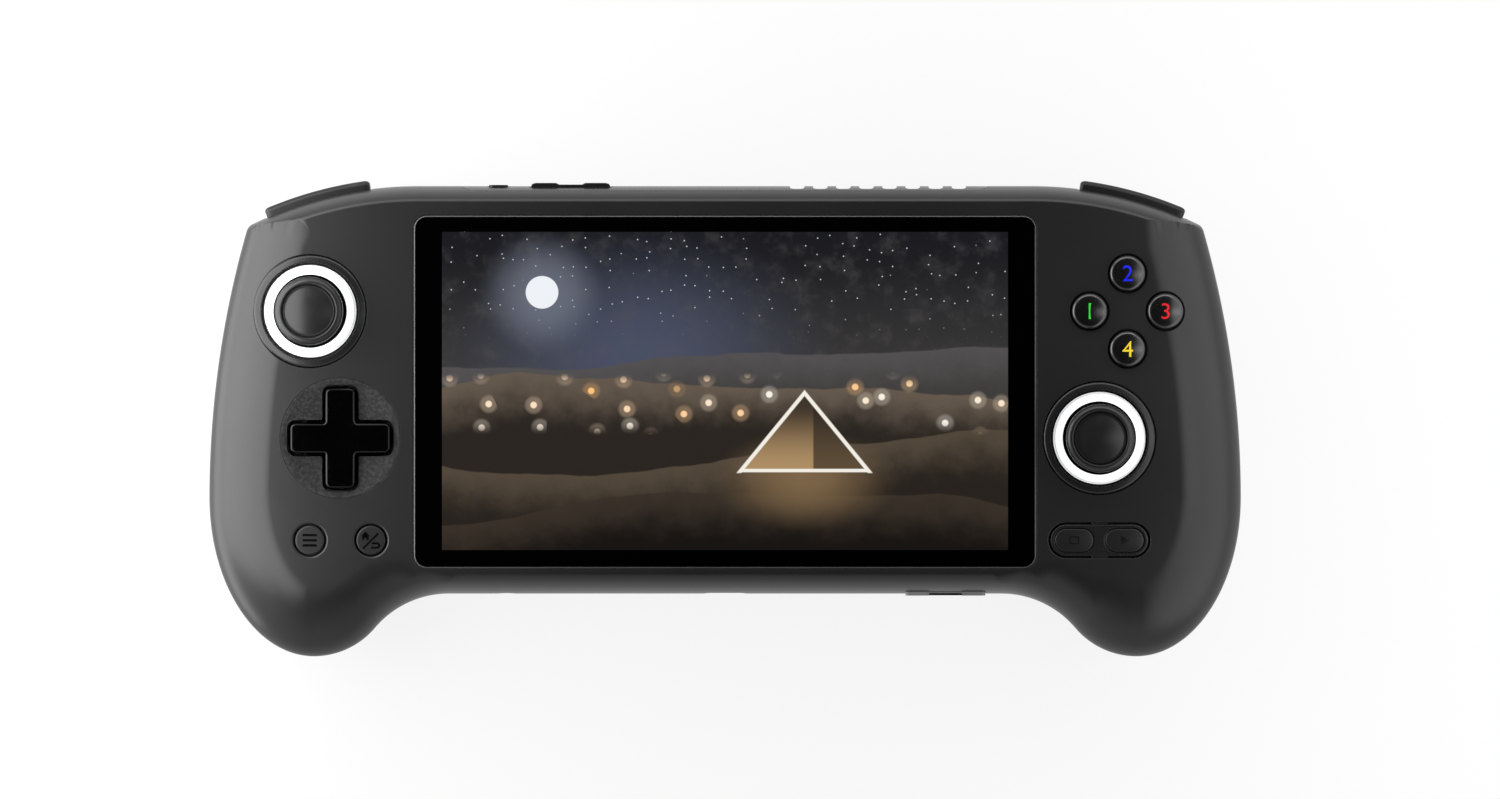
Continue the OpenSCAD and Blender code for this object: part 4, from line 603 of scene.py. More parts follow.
    # the lit area
    wide, blur = PICTURE_W / PICTURE_H, 0.0025
    edge = m.mul(m.step(m.size(u), wide + blur, wide - blur), m.step(m.size(v), 1 + blur, 1 - blur))
    top = m.step(part.outputs[2], (Z_FACE - 0.02) * MM, (Z_FACE - 0.01) * MM)
    lit = m.mul(edge, top)
    glow = m.mix(lit, (0, 0, 0, 1), picture)
    wipe = m.noise(90, 5.0, 0.7, dist=1.0)
    base = m.mix(lit, (0.0004, 0.0004, 0.0005, 1), (0.0008, 0.0008, 0.001, 1))
    return m.shader(Base_Color=base, Roughness=m.step(wipe, 0.3, 0.75, 0.04, 0.09), Specular_IOR_Level=0.22,
                    Emission_Color=glow, Emission_Strength=1.0, Normal=m.bump(wipe, 0.02, 0.003 * MM))


SHELL = plastic("shell_plastic", 0.0135, 0.33, grain=0.4, grain_up=0.012, wear=0.0)
REAR = plastic("rear_plastic", 0.013, 0.36, grain=0.45, grain_up=0.03, wear=0.0)
TRIM = plastic("trim_plastic", 0.012, 0.27, grain=0.3, grain_up=0.008, wear=0.3)
DISH = plastic("dish_plastic", 0.024, 0.5, grain=0.75, grain_up=0.1, spread=0.15, wear=0.1, spec=0.35, speck=0.9)
TRIGGER = plastic("trigger_plastic", 0.012, 0.34, grain=0.3, grain_up=0.012, wear=0.4)
KEY_EDGE = plastic("edge_key_plastic", 0.01, 0.36, grain=0.3, grain_up=0.01, wear=0.5, spec=0.34)
SMALL_KEY = plastic("small_key_plastic", 0.013, 0.32, grain=0.3, grain_up=0.012, wear=0.35)
DARK = plastic("dark_plastic", 0.012, 0.45, grain=0.3, grain_up=0.01)
FAN_MAT = plastic("fan_plastic", 0.014, 0.4, grain=0.35, grain_up=0.01)
CARD_TRIM = plastic("card_trim_plastic", 0.3, 0.34, grain=0.25, grain_up=0.008, wear=0.3)
WRAP = plastic("battery_wrap", 0.03, 0.3, grain=1.6, grain_up=0.03, tint=(0.9, 0.95, 1.1))
MEMBRANE = rubber("membrane_rubber", 0.16)
CAP = rubber("cap_rubber", 0.012, 0.3)
# Near-black rubber: the sticks' boots, and also painted shade on the light rings' sides and in the card notch.
BOOT_AND_SHADE = rubber("boot_rubber_and_shade", 0.002, 0.7)
GLOSS = gloss("gloss_key", 0.0006, 0.07, 0.3)
FACE_GLOSS = gloss("gloss_face_key", 0.005, 0.2, 1.0, 1.2)
GLASS = screen("screen_glass")
# Pale grey for the cover glass's bevel: a painted highlight, the thin light line round the glass.
GLASS_EDGE_HIGHLIGHT = plastic("glass_edge_painted_highlight", 0.085, 0.3, grain=0.2, grain_up=0.004, wear=0.0)
PANEL = gloss("display_panel", 0.006)
ALLOY = metal("frame_alloy", 0.55, 0.35)
PORT = metal("port_metal", 0.6, 0.28)
STEEL = metal("steel", 0.5, 0.3, False)
MODULE = metal("module_metal", 0.45, 0.38)
COPPER = metal("copper", 0.8, 0.3, True, (1.0, 0.6, 0.4))
BOARD = board("board_mask")
RING = light_ring_mat("light_ring")
INK_BLACK = ink("ink_black", (0.0012, 0.0012, 0.0014), 0.0, 0.06)
INK_FAINT = ink("ink_faint", (0.007, 0.007, 0.0075), 0.0, 0.25)
# The coloured key numbers also glow a little by themselves: painted light, no lamp lights them.
GLOWING_INK = {
    "top": ink("ink_blue_glowing", (0.01, 0.015, 0.6), 0.5),
    "left": ink("ink_green_glowing", (0.02, 0.6, 0.03), 0.4),
    "right": ink("ink_red_glowing", (0.6, 0.01, 0.015), 0.4),
    "bottom": ink("ink_yellow_glowing", (0.8, 0.6, 0.03), 0.3),
}


# The two shells. An opening is an outline, and a chain of (outset, depth) rings from outer skin to inner skin.
SIDE_STEPS = (0, 0.0008, 0.0035, 0.009, 0.018, 0.031, 0.049, 0.072, 0.1, 0.135)
SKIN_STEPS = (0.18, 0.235, 0.3, 0.375, 0.46, 0.55, 0.65, 0.76, 0.88, 1.0)
INNER_STEPS = (0.06, 0.2, 0.45, 0.75, 1.0)


def round_hole(c, r, n=72):
    return lambda o: circle(c, r + o, n)


def rect_hole(c, w, h, r, n=9):
    return lambda o: rrect(c, w + 2 * o, h + 2 * o, r + o, n)


def fillet(f, flat=0.3):
    """Rings that roll an opening's edge over: (outset, depth below the skin)."""
    out = [(f + flat, ("skin", 0.0)), (f + flat * 0.4, ("skin", 0.0))]
    for a in (0, 30, 60, 90):
        out.append((f - f * math.sin(math.radians(a)), ("skin", f - f * math.cos(math.radians(a)))))
    return out


def shell(front, holes):
    sf = Surface(front)
    b = Build()

    def inset(s):
        return sf.loop + sf.normal * (sf.loop_roll * s)[:, None]

    rings = [b.ring(at_z(p, sf.outer(p))) for p in map(inset, SIDE_STEPS[:-1])]
    last = inset(SIDE_STEPS[-1])
    free = []
    for s in SKIN_STEPS:
        p = inset(s)
        free.append(p[np.abs(share(p, sf.half, sf.roll) - s) < 0.012])
    pitch = 5.0 if front else 1.7
    gx, gy = np.meshgrid(np.arange(-HALF_W, HALF_W, pitch), np.arange(-TIP, TOP, pitch * 0.866))
    gx = gx + (np.arange(len(gx)) % 2)[:, None] * pitch / 2
    grid = np.column_stack([gx.ravel(), gy.ravel()])
    grid = grid[inside(grid, [last])]
    grid = grid[share(grid, sf.half, sf.roll) > 0.999]
    if not front:
        far = np.abs(grid[:, 0]) > HALF_W - GRIP_W - 3
        grid = grid[far | (np.arange(len(grid)) % 11 == 0)]
    free = np.vstack(free + [grid])
    for shape, chain in holes:
        free = free[~inside(free, [shape(chain[0][0] + 0.35)])]
    cell = {}
    for p in free:
        cell.setdefault((round(p[0] / 0.22), round(p[1] / 0.22)), p)
    lines = [shape(chain[0][0]) for shape, chain in holes]
    edge, *starts = b.sheet([last] + lines, cell.values(), sf.outer)
    for r0, r1 in zip(rings, rings[1:] + [edge]):
        b.band(r0, r1)
    # inner skin
    in_roll = np.concatenate([sf.in_roll, sf.in_roll[1:-1][::-1]])
    free = []
    for s in INNER_STEPS:
        p = sf.in_loop + sf.normal * (in_roll * s)[:, None]
        free.append(p[np.abs(share(p, sf.in_half, sf.in_roll) - s) < 0.03][::2])
    coarse = grid[::5]
    free = np.vstack(free + [coarse[share(coarse, sf.in_half, sf.in_roll) > 0.999]])
    free = free[inside(free, [sf.in_loop])]
    for shape, chain in holes:
        free = free[~inside(free, [shape(chain[-1][0] + 0.3)])]
    lines = [shape(chain[-1][0]) for shape, chain in holes]
    rim, *ends = b.sheet([sf.in_loop] + lines, free, sf.inner)
    for i in rim:
        b.v[i] = (*b.v[i][:2], Z_RIM_F if front else Z_RIM_R)
    b.band(rings[0], rim)
    # walls of the openings
    for (shape, chain), ids, end in zip(holes, starts, ends):
        for outset, depth in chain[1:-1]:
            pts = np.array(shape(outset))
            if isinstance(depth, tuple):
                depth = sf.outer(pts) + (-depth[1] if front else depth[1])
            ids = b.run(ids, [at_z(pts, depth)])
        b.band(ids, end)
    return b


def edge_cutters():
    b = Build()
    for mirror in (False, True):
        z0, z1 = Z_BUMPER - 0.3, Z_BUMPER + BUMPER_H + 0.3
        r0, r1 = BUMPER_R - BUMPER_DEEP - 2.4, BUMPER_R + 2
        swept(b, lambda a: [(r0, z0), (r1, z0), (r1, z1), (r0, z1)], span(BUMPER_HALF + 0.35, 24), mirror)
    mid = (Z_STRIP_TOP + Z_STRIP_LOW) / 2
    strip = rrect((0, 0), STRIP_LEN + 2 * FIT, Z_STRIP_TOP - Z_STRIP_LOW + 2 * FIT, STRIP_R + FIT, 12)
    b.stack([along_y(strip, y, mid) for y in (TOP - WALL - 0.5, TOP + 2)])
    usb = rrect((0, 0), USB_W + 0.6, USB_H + 0.6, 1.8, 10)
    b.stack([along_y(usb, y, Z_USB) for y in (-BOTTOM - 2, -BOTTOM + WALL + 1)])
    jack = circle((0, 0), JACK_R + 0.6 + FIT, 48)
    b.stack([along_y(jack, y, Z_JACK, JACK_X) for y in (-BOTTOM - 2, -BOTTOM + WALL + 1)])
    card = rrect((0, 0), CARD_LEN + 2 * FIT, CARD_H + 2 * FIT, 1.0, 8)
    b.stack([along_y(card, y, Z_CARD, CARD_X) for y in (-BOTTOM - 2, -BOTTOM + WALL + 1.2)])
    return b


def rear_cutters():
    b = Build()
    for mirror in (False, True):
        r0, r1 = BARREL_Y - 2.4, BUMPER_R + 2
        swept(b, lambda a: [(r0, -1), (r1, -1), (r1, Z_BUMPER), (r0, Z_BUMPER)], span(TRIGGER_HALF + 0.7, 24), mirror)
    for s in (-1, 1):
        for i in range(-3, 4):
            dot = circle((0, 0), HOLE_R, 20)
            x = s * SPEAKER_X + HOLE_PITCH * i
            b.stack([along_y(dot, y, Z_BACK + 3.6, x) for y in (-BOTTOM - 2, -BOTTOM + WALL + 1.5)])
    return b


def cut(ob, cutters):
    for c in cutters:
        tool = make("cutter", c, None, None)
        mod = ob.modifiers.new("cut", "BOOLEAN")
        mod.operation = "DIFFERENCE"
        mod.object = tool
        mod.solver = "EXACT"
        dg = bpy.context.evaluated_depsgraph_get()
        dg.update()
        me = bpy.data.meshes.new_from_object(ob.evaluated_get(dg))
        ob.modifiers.clear()
        old = ob.data
        ob.data = me
        bpy.data.meshes.remove(old)
        data = tool.data
        bpy.data.objects.remove(tool)
        bpy.data.meshes.remove(data)


def even(ob, sf):
    """Corner normals from the surface itself wherever a corner lies on the skin, so that no triangle shows."""
    me = ob.data
    co = np.empty(len(me.vertices) * 3)
    me.vertices.foreach_get("co", co)
    co = co.reshape(-1, 3) / MM
    p, h = co[:, :2], 0.02
    on = (np.abs(co[:, 2] - sf.outer(p)) < 0.006) & (share(p, sf.half, sf.roll) > 0.004)
    rise = [(sf.outer(p + d) - sf.outer(p - d)) / (2 * h) for d in (np.array((h, 0)), np.array((0, h)))]
    n = np.column_stack([-rise[0], -rise[1], np.ones(len(p))]) * (1 if sf.front else -1)
    n /= np.linalg.norm(n, axis=1)[:, None]
    corner = np.empty(len(me.loops), int)
    me.loops.foreach_get("vertex_index", corner)
    sides, flat = np.empty(len(me.polygons), int), np.empty(len(me.polygons) * 3)
    me.polygons.foreach_get("loop_total", sides)
    me.polygons.foreach_get("normal", flat)
    flat = np.repeat(flat.reshape(-1, 3), sides, 0)
    use = on[corner] & ((n[corner] * flat).sum(1) > 0.8)
    me.normals_split_custom_set((n[corner] * use[:, None]).tolist())


face_keys = {"top": (0, PITCH), "right": (PITCH, 0), "bottom": (0, -PITCH), "left": (-PITCH, 0)}
face_at = {k: (FACE[0] + d[0], FACE[1] + d[1]) for k, d in face_keys.items()}

front_holes = [
    (rect_hole((0, GLASS_Y), GLASS_W, GLASS_H, GLASS_R), fillet(0.08) + [
        (0, Z_FACE - GLASS_T), (-LEDGE, Z_FACE - GLASS_T), (-LEDGE, None)]),
    (round_hole(STICK_L, BEZEL_R + FIT, 128), fillet(0.12) + [(0, None)]),
    (round_hole(STICK_R, BEZEL_R + FIT, 128), fillet(0.12) + [(0, None)]),
    (round_hole(PAD, DISH_R + FIT, 128), fillet(0.06) + [(0, None)]),
    (rect_hole(PILL, PILL_LEN + 2 * KEY_GAP, PILL_H + 2 * KEY_GAP, PILL_H / 2 + KEY_GAP, 14),
     fillet(0.18) + [(0, None)]),
]
front_holes += [(round_hole(c, FACE_R + KEY_GAP), fillet(0.3) + [(0, None)]) for c in face_at.values()]
front_holes += [(round_hole(c, ROUND_R + KEY_GAP), fillet(0.5) + [(0, None)]) for c in (MENU, HOME)]

rear_holes = []
for c in SCREWS:
    rear_holes.append((round_hole(c, HEAD_R + 0.4, 40), fillet(0.2, 0.25) + [
        (0, SCREW_SEAT), (SCREW_R + 0.1 - HEAD_R - 0.4, SCREW_SEAT), (SCREW_R + 0.1 - HEAD_R - 0.4, Z_RIM_R - 0.1),
        (0.7, Z_RIM_R - 0.1), (0.7, None)]))
for i in range(-4, 5):
    h = math.sqrt((FAN_R - 3) ** 2 - (SLOT_PITCH * i) ** 2)
    rear_holes.append((rect_hole((FAN[0] + SLOT_PITCH * i, FAN[1]), SLOT_W, 2 * h, SLOT_W / 2 - 0.01, 6),
                       fillet(0.16, 0.2) + [(0, None)]))

front = make("front_shell_moulding", shell(True, front_holes), SHELL, "chassis", ["front_shell"])
rear = make("rear_shell_moulding", shell(False, rear_holes), REAR, "chassis", ["rear_shell"])
edges = edge_cutters()
cut(front, [edges])
cut(rear, [edges, rear_cutters()])
for ob, sf in ((front, Surface(True)), (rear, Surface(False))):
    shade(ob, 34)
    even(ob, sf)


# Screen glass
def glass():
    z0 = Z_FACE - GLASS_T
    rows = [(0.12, z0), (0.0, z0 + 0.12), (0.0, Z_FACE - GLASS_BEVEL), (0.03, Z_FACE - GLASS_BEVEL + 0.1),
            (GLASS_BEVEL - 0.06, Z_FACE - 0.035), (GLASS_BEVEL, Z_FACE - 0.004), (GLASS_BEVEL + 0.25, Z_FACE)]
    w, h, r = GLASS_W - 2 * GLASS_GAP, GLASS_H - 2 * GLASS_GAP, GLASS_R - GLASS_GAP
    return Build().stack([at_z(rrect((0, GLASS_Y), w - 2 * q, h - 2 * q, r - q, 14), z) for q, z in rows])


pane = make("cover_glass", glass(), GLASS, "chassis", ["screen_glass"])
# The bevel faces take the pale grey: a painted highlight round the glass.
second(pane, GLASS_EDGE_HIGHLIGHT, lambda q: 0.15 < q.normal.z < 0.985)


# Sticks
def bezel(c):
    z = Z_FACE
    crest, up = BEZEL_R - 1.55, 0.22
    flare = BEZEL_R + 0.35
    prof = [(BEZEL_R - 1.5, Z_PART + 0.05), (flare, Z_PART + 0.05), (flare, Z_PART + 0.5), (BEZEL_R, Z_PART + 0.85),
            (BEZEL_R, z - 0.42)]
    r, h = BEZEL_R - 0.03, -0.36
    flank = [(lerp(46, 30, i / 8), 0.06) for i in range(9)]
    for slope, run in flank + [(26, 0.05), (20, 0.05), (14, 0.05), (11, 0.05)]:
        prof.append((r, z + h))
        r, h = r - run * math.cos(math.radians(slope)), h + run * math.sin(math.radians(slope))
    prof += [(lerp(r, crest, i / 6), z + lerp(h, up, math.sin(i / 6 * 0.9) / math.sin(0.9))) for i in range(7)]
    prof += [(crest - 0.1, z + up - 0.03), (crest - 0.16, z + up - 0.12), (crest - 0.17, z - 0.3),
             (crest - 0.17, z - 1.1), (LIGHT_R + FIT, z - 1.1), (LIGHT_R + FIT, Z_IN), (LIGHT_R - 0.6, Z_IN),
             (LIGHT_R - 0.6, Z_IN - 1), (BEZEL_R - 1.5, Z_IN - 1.8)]
    return Build().lathe(c, prof, 144, True)


def ring(c):
    z = Z_FACE
    top = LIGHT_R - 0.38
    prof = [(LIGHT_IN, Z_IN + 0.05), (LIGHT_R, Z_IN + 0.05), (LIGHT_R, z - 1.15), (top, z - 1.1)]
    prof += arc((top - 0.08, z - 0.38), 0.08, 0, 90, 4) + arc((LIGHT_IN + 0.08, z - 0.38), 0.08, 90, 180, 4)
    return Build().lathe(c, prof, 128, True)


def cap(c):
    z, under = Z_FACE + CAP_UP, Z_FACE + CAP_UP - CAP_T
    neck, thick = 3.6, 0.9

    def crown(r):
        return z - CAP_CROWN - (CAP_GROOVE - CAP_CROWN) * (r / CAP_CROWN_R) ** 2

    last = CAP_CROWN_R - 0.45
    prof = [(last * i / 14, crown(last * i / 14)) for i in range(15)]
    prof += [(last + 0.08, crown(last) + 0.03), (last + 0.17, crown(last) + 0.03), (last + 0.26, crown(last) - 0.04),
             (last + 0.32, z - CAP_GROOVE - 0.06), (CAP_CROWN_R, z - CAP_GROOVE - 0.06)]
    peak, fall = CAP_CROWN_R + 0.3, 1.5
    prof += [(peak - 0.22, z - 0.3), (peak - 0.18, z - 0.16), (peak - 0.1, z - 0.05)]
    prof += [(peak + (CAP_R - peak) * q, z - fall + fall * r) for r, q in [(math.cos(t), math.sin(t)) for t in
             [math.pi / 2 * i / 16 for i in range(17)]]]
    prof += arc((CAP_R - 0.9, under + 0.9), 0.9, 0, -90, 8)
    prof += [(neck + 0.25, under), (neck, under - 0.2)]
    prof += arc((0, Z_PIVOT), DOME_R, math.degrees(math.acos((neck) / DOME_R)) - 2, 16, 16)
    prof += arc((0, Z_PIVOT), DOME_R - thick, 16, math.degrees(math.acos((STEM_R + RUN) / (DOME_R - thick))), 14)
    prof += [(STEM_R + RUN, under + 0.4), (0, under + 0.4)]
    return Build().lathe(c, prof, 144)


for side, c in (("left", STICK_L), ("right", STICK_R)):
    make(side + "_stick_collar", bezel(c), TRIM, "chassis", [side + "_stick_bezel"], 38)
    ob = make(side + "_stick_light", ring(c), RING, "chassis", [side + "_light_ring"], 38)
    # The ring's sides and underside are near-black, so the gaps beside its lit top stay black: painted shade.
    second(ob, BOOT_AND_SHADE, lambda q: q.normal.z < 0.6)
    ob = make(side + "_thumb_cap", cap(c), CAP, side + "_stick_cap", [side + "_stick_cap"], 50)
    second(ob, BOOT_AND_SHADE, lambda q: q.center.z < (Z_FACE + CAP_UP - CAP_T + 0.3) * MM)


# Direction pad
def dish():
    b = Build()
    z, rim_r = Z_FACE, DISH_R - 0.3

    def cross(grow, inner):
        q = 2 * PAD_GAP
        return cross_line(PAD, PAD_LEN + q + grow, PAD_ARM + q + grow, PAD_CORNER + PAD_GAP + grow / 2, inner, 6)

    def height(p):
        t = np.clip(np.hypot(p[:, 0] - PAD[0], p[:, 1] - PAD[1]) / rim_r, 0, 1)
        return z - DISH_DEPTH * (1 - t ** 2)

    free = np.array([p for r in (4, 5.5, 7, 8.2, 9.3, 10.3, 11.2, 11.9) for p in circle(PAD, r, 90)])
    free = free[~inside(free, [cross(0.8, 0.3)])]
    hole = cross(0.2, 0.4)
    top_rim, top_cut = b.sheet([circle(PAD, rim_r, 128), hole], free, height)
    low_rim, low_cut = b.sheet([circle(PAD, DISH_R - 1.6, 128), hole], [], Z_IN)
    b.band(top_cut, low_cut)
    side = ((DISH_R - 0.1, z + 0.01), (DISH_R + 0.03, z), (DISH_R + 0.07, z - 0.06), (DISH_R + 0.07, Z_IN - 0.85),
            (DISH_R + 1.2, Z_IN - 0.85), (DISH_R + 1.2, Z_IN - 1.45), (DISH_R - 1.6, Z_IN - 1.45))
    b.band(b.run(top_rim, [at_z(circle(PAD, r, 128), q) for r, q in side]), low_rim)
    return b


def pad():
    """The cross: straight sides, a small bevel with soft edges, arms that rise to their ends, a shallow middle."""
    b = Build()
    top = Z_FACE + PAD_UP

    def line(q):
        return np.array(cross_line(PAD, PAD_LEN - 2 * q, PAD_ARM - 2 * q, PAD_CORNER - q, 0.6 + q, 8))

    def height(p):
        r = np.hypot(p[:, 0] - PAD[0], p[:, 1] - PAD[1])
        return top - 0.05 - 0.3 * (1 - ease(r / 7.0)) + 0.05 * ease((r - 7) / 3)

    rings = [at_z(line(q), z) for q, z in ((0.0, Z_IN - 1.4), (0.0, top - 0.5), (0.02, top - 0.36))]
    bevel = ((0.07, 0.25), (0.2, 0.12), (0.27, 0.08), (0.33, 0.04))
    rings += [at_z(line(q), height(line(q)) - down) for q, down in bevel]
    foot = b.ring(rings[0])
    b.f.append(tuple(foot[::-1]))
    gx, gy = np.meshgrid(np.arange(-11, 11.1, 0.45), np.arange(-11, 11.1, 0.45))
    free = np.column_stack([gx.ravel() + PAD[0], gy.ravel() + PAD[1]])
    free = free[inside(free, [line(0.6)])]
    edge = b.run(foot, rings[1:])
    b.band(edge, b.sheet([line(0.4)], free, lambda p: height(p) - 0.04)[0])
    # the hub below, which sits on the ball
    bowl = BALL_R + RUN
    socket = [(math.sqrt(bowl ** 2 - q * q), Z_BALL + q) for q in [lerp(0.8, bowl, i / 10) for i in range(10)]]
    hub = [(0.0, Z_IN - 1.3), (8.0, Z_IN - 1.3), (8.0, Z_BALL + 0.8)]
    return b.lathe(PAD, hub + socket + [(0.0, Z_BALL + bowl)], 72)


make("d_pad_recess", dish(), DISH, "chassis", ["d_pad_dish"])
make("d_pad_cross", pad(), GLOSS, "d_pad", ["d_pad"], 40)


# Round and pill keys
def dome(r):
    """Height of a face key's top below its crown, at a radius."""
    return 0.3 * (r / (FACE_R - 0.9)) ** 2


def face_key(c):
    top = Z_FACE + FACE_UP
    low = Z_IN - 3.1 + FACE_TRAVEL + 0.1
    prof = [(0, low), (2.4, low), (2.4, Z_IN - 1.1), (FACE_R + FLANGE, Z_IN - 1.1), (FACE_R + FLANGE, Z_IN - 0.15),
            (FACE_R, Z_IN - 0.15)]
    a0 = 72
    prof += arc((FACE_R - 0.95, top - 1.25), 0.95, 0, a0, 10)
    r1, z1 = prof[-1]
    prof += [(r1 * i / 14, lerp(top, z1, (i / 14) ** 2)) for i in range(13, -1, -1)]
    return Build().lathe(c, prof, 96)


def round_key(c):
    z = Z_FACE
    low = Z_PART + 1.2 + SMALL_TRAVEL
    prof = [(0, low), (1.6, low), (1.6, Z_IN - 0.9), (ROUND_R + FLANGE, Z_IN - 0.9), (ROUND_R + FLANGE, Z_IN - 0.15),
            (ROUND_R - 0.06, Z_IN - 0.15)]
    r = ROUND_R - 0.06
    prof += arc((r - 0.2, z - 0.15), 0.2, 0, 90, 6) + [(r - 0.5, z + 0.05), (0, z + 0.05)]
    return Build().lathe(c, prof, 72)


def pill_key(c):
    b = Build()
    top = Z_FACE + 0.1
    rows = [(0, Z_IN - 1.2), (0, top - 0.24), (0.02, top - 0.16), (0.07, top - 0.07), (0.15, top - 0.02), (0.25, top)]
    b.stack([at_z(rrect(c, KEY_LEN - 2 * q, KEY_H - 2 * q, KEY_H / 2 - 0.02 - q, 14), z) for q, z in rows])
    b.stack([at_z(rrect(c, KEY_LEN + 1.6, KEY_H + 1.4, KEY_H / 2 + 0.5, 8), z) for z in (Z_IN - 1.7, Z_IN - 1)])
    b.stack([at_z(circle(c, 1.5, 24), z) for z in (Z_PART + 1.2 + SMALL_TRAVEL, Z_IN - 1.2)])
    return b


def pill_bezel():
    """Filled pill with two openings, its top edge and theirs rolled over."""
    b = Build()
    z, roll, low = Z_FACE, 0.16, Z_IN - 0.8
    wells = [(PILL[0] + s * PILL_PITCH / 2, PILL[1]) for s in (-1, 1)]

    def out_line(q):
        q = q + 0.2
        return rrect(PILL, PILL_LEN - 2 * q, PILL_H - 2 * q, PILL_H / 2 - 0.02 - q, 14)

    def well_line(c, q):
        return rrect(c, KEY_LEN + KEY_GAP + 2 * q, KEY_H + KEY_GAP + 2 * q, KEY_H / 2 + KEY_GAP / 2 - 0.02 + q, 14)

    top, base = [b.sheet([out_line(o)] + [well_line(c, w) for c in wells], [], level)
                 for level, o, w in ((z, 0.5, roll + 0.1), (low, -FLANGE, 0.0))]
    outer = ((0.22, z), (0.1, z - 0.03), (0.03, z - 0.1), (0, z - 0.22), (0, Z_IN - 0.1), (-FLANGE, Z_IN - 0.1))
    b.band(b.run(top[0], [at_z(out_line(q), level) for q, level in outer]), base[0])
    for c, rim, end in zip(wells, top[1:], base[1:]):
        wall = ((roll, z), (roll * 0.4, z - roll * 0.2), (0.0, z - roll))
        b.band(b.run(rim, [at_z(well_line(c, q), level) for q, level in wall]), end)
    wide = KEY_GAP + 0.2 - 0.04
    for side in (-1, 1):
        c = (PILL[0], PILL[1] + side * (PILL_H / 2 + KEY_GAP - 0.02 - wide / 2))
        b.stack([at_z(rrect(c, BRIDGE - 2 * q, wide - 2 * q, 0.2, 5), level) for q, level in (
            (0, Z_IN + 0.1), (0, z - 0.06), (0.04, z - 0.02))])
    return b


for key, c in face_at.items():
    make(key + "_face_key", face_key(c), FACE_GLOSS, key + "_button", [key + "_button"], 40)
for key, c in (("menu", MENU), ("home", HOME)):
    make(key + "_round_key", round_key(c), SMALL_KEY, key + "_button", [key + "_button"], 40)
make("pill_surround", pill_bezel(), TRIM, "chassis", ["select_start_bezel"])
for s, key in ((-1, "select"), (1, "start")):
    c = (PILL[0] + s * PILL_PITCH / 2, PILL[1])
    make(key + "_pill_key", pill_key(c), SMALL_KEY, key + "_button", [key + "_button"], 40)


# Marks printed on the keys
def mark(name, shapes, c, height, mat, body, grid=0.3):
    """Closed outlines (first the outline, then its holes) laid on a key as a thin film that follows its top."""
    b = Build()
    for loops in shapes:
        loops = [[(c[0] + x, c[1] + y) for x, y in lp] for lp in loops]
        lo, hi = np.min(loops[0], 0), np.max(loops[0], 0)
        gx, gy = np.meshgrid(np.arange(lo[0], hi[0], grid), np.arange(lo[1], hi[1], grid))
        free = np.column_stack([gx.ravel(), gy.ravel()])
        co, tris, where = fill(loops, free[inside(free, loops)])
        z = height(np.hypot(co[:, 0] - c[0], co[:, 1] - c[1]))
        k, m, where = len(b.v), len(co), iter(where)
        b.ring(at_z(co, z + 0.012))
        b.ring(at_z(co, z - 0.05))
        b.f += (tris + k).tolist() + (tris[:, ::-1] + k + m).tolist()
        for lp in loops:
            ids = [k + next(where) for p in lp]
            b.band(ids, [i + m for i in ids])
    return make(name, b, mat, body)


def digit(text, size):
    """A plain numeral from the built-in font, centred: its outline, then its hole if it has one."""
    curve = bpy.data.curves.new("digit", "FONT")
    curve.body, curve.size, curve.resolution_u, curve.fill_mode = text, 1.0, 8, "NONE"
    ob = bpy.data.objects.new("digit", curve)
    scene.collection.objects.link(ob)
    dg = bpy.context.evaluated_depsgraph_get()
    dg.update()
    me = bpy.data.meshes.new_from_object(ob.evaluated_get(dg))
    co = np.array([(v.co.x, v.co.y) for v in me.vertices])
    ends = sorted(sorted(e.vertices) for e in me.edges if abs(e.vertices[0] - e.vertices[1]) > 1)
    lines = [co[a:b + 1] for a, b in ends]
    bpy.data.objects.remove(ob)
    bpy.data.curves.remove(curve)
    bpy.data.meshes.remove(me)
    lo, hi = co.min(0), co.max(0)
    lines = [(ln - (lo + hi) / 2) * (size / (hi[1] - lo[1])) for ln in lines]
    return [sorted(lines, key=lambda ln: -np.prod(ln.max(0) - ln.min(0)))]


for number, key in (("1", "left"), ("2", "top"), ("3", "right"), ("4", "bottom")):
    mark(key + "_key_number", digit(number, 3.4), face_at[key], lambda r: Z_FACE + FACE_UP - dome(r), GLOWING_INK[key],
         key + "_button")


def bar(x, y, w, h):
    return [rrect((x, y), w, h, h * 0.3, 3)]


def thick(points, w):
    """A line of even width through points, as one closed outline."""
    p = np.array(points, float)
    t = np.gradient(p, axis=0)
    t /= np.linalg.norm(t, axis=1)[:, None]
    side = np.stack([-t[:, 1], t[:, 0]], 1) * w / 2
    return [[tuple(q) for q in np.vstack([p - side, (p + side)[::-1]])]]


def flat_top(z):
    return lambda r: np.full(np.shape(r), z)


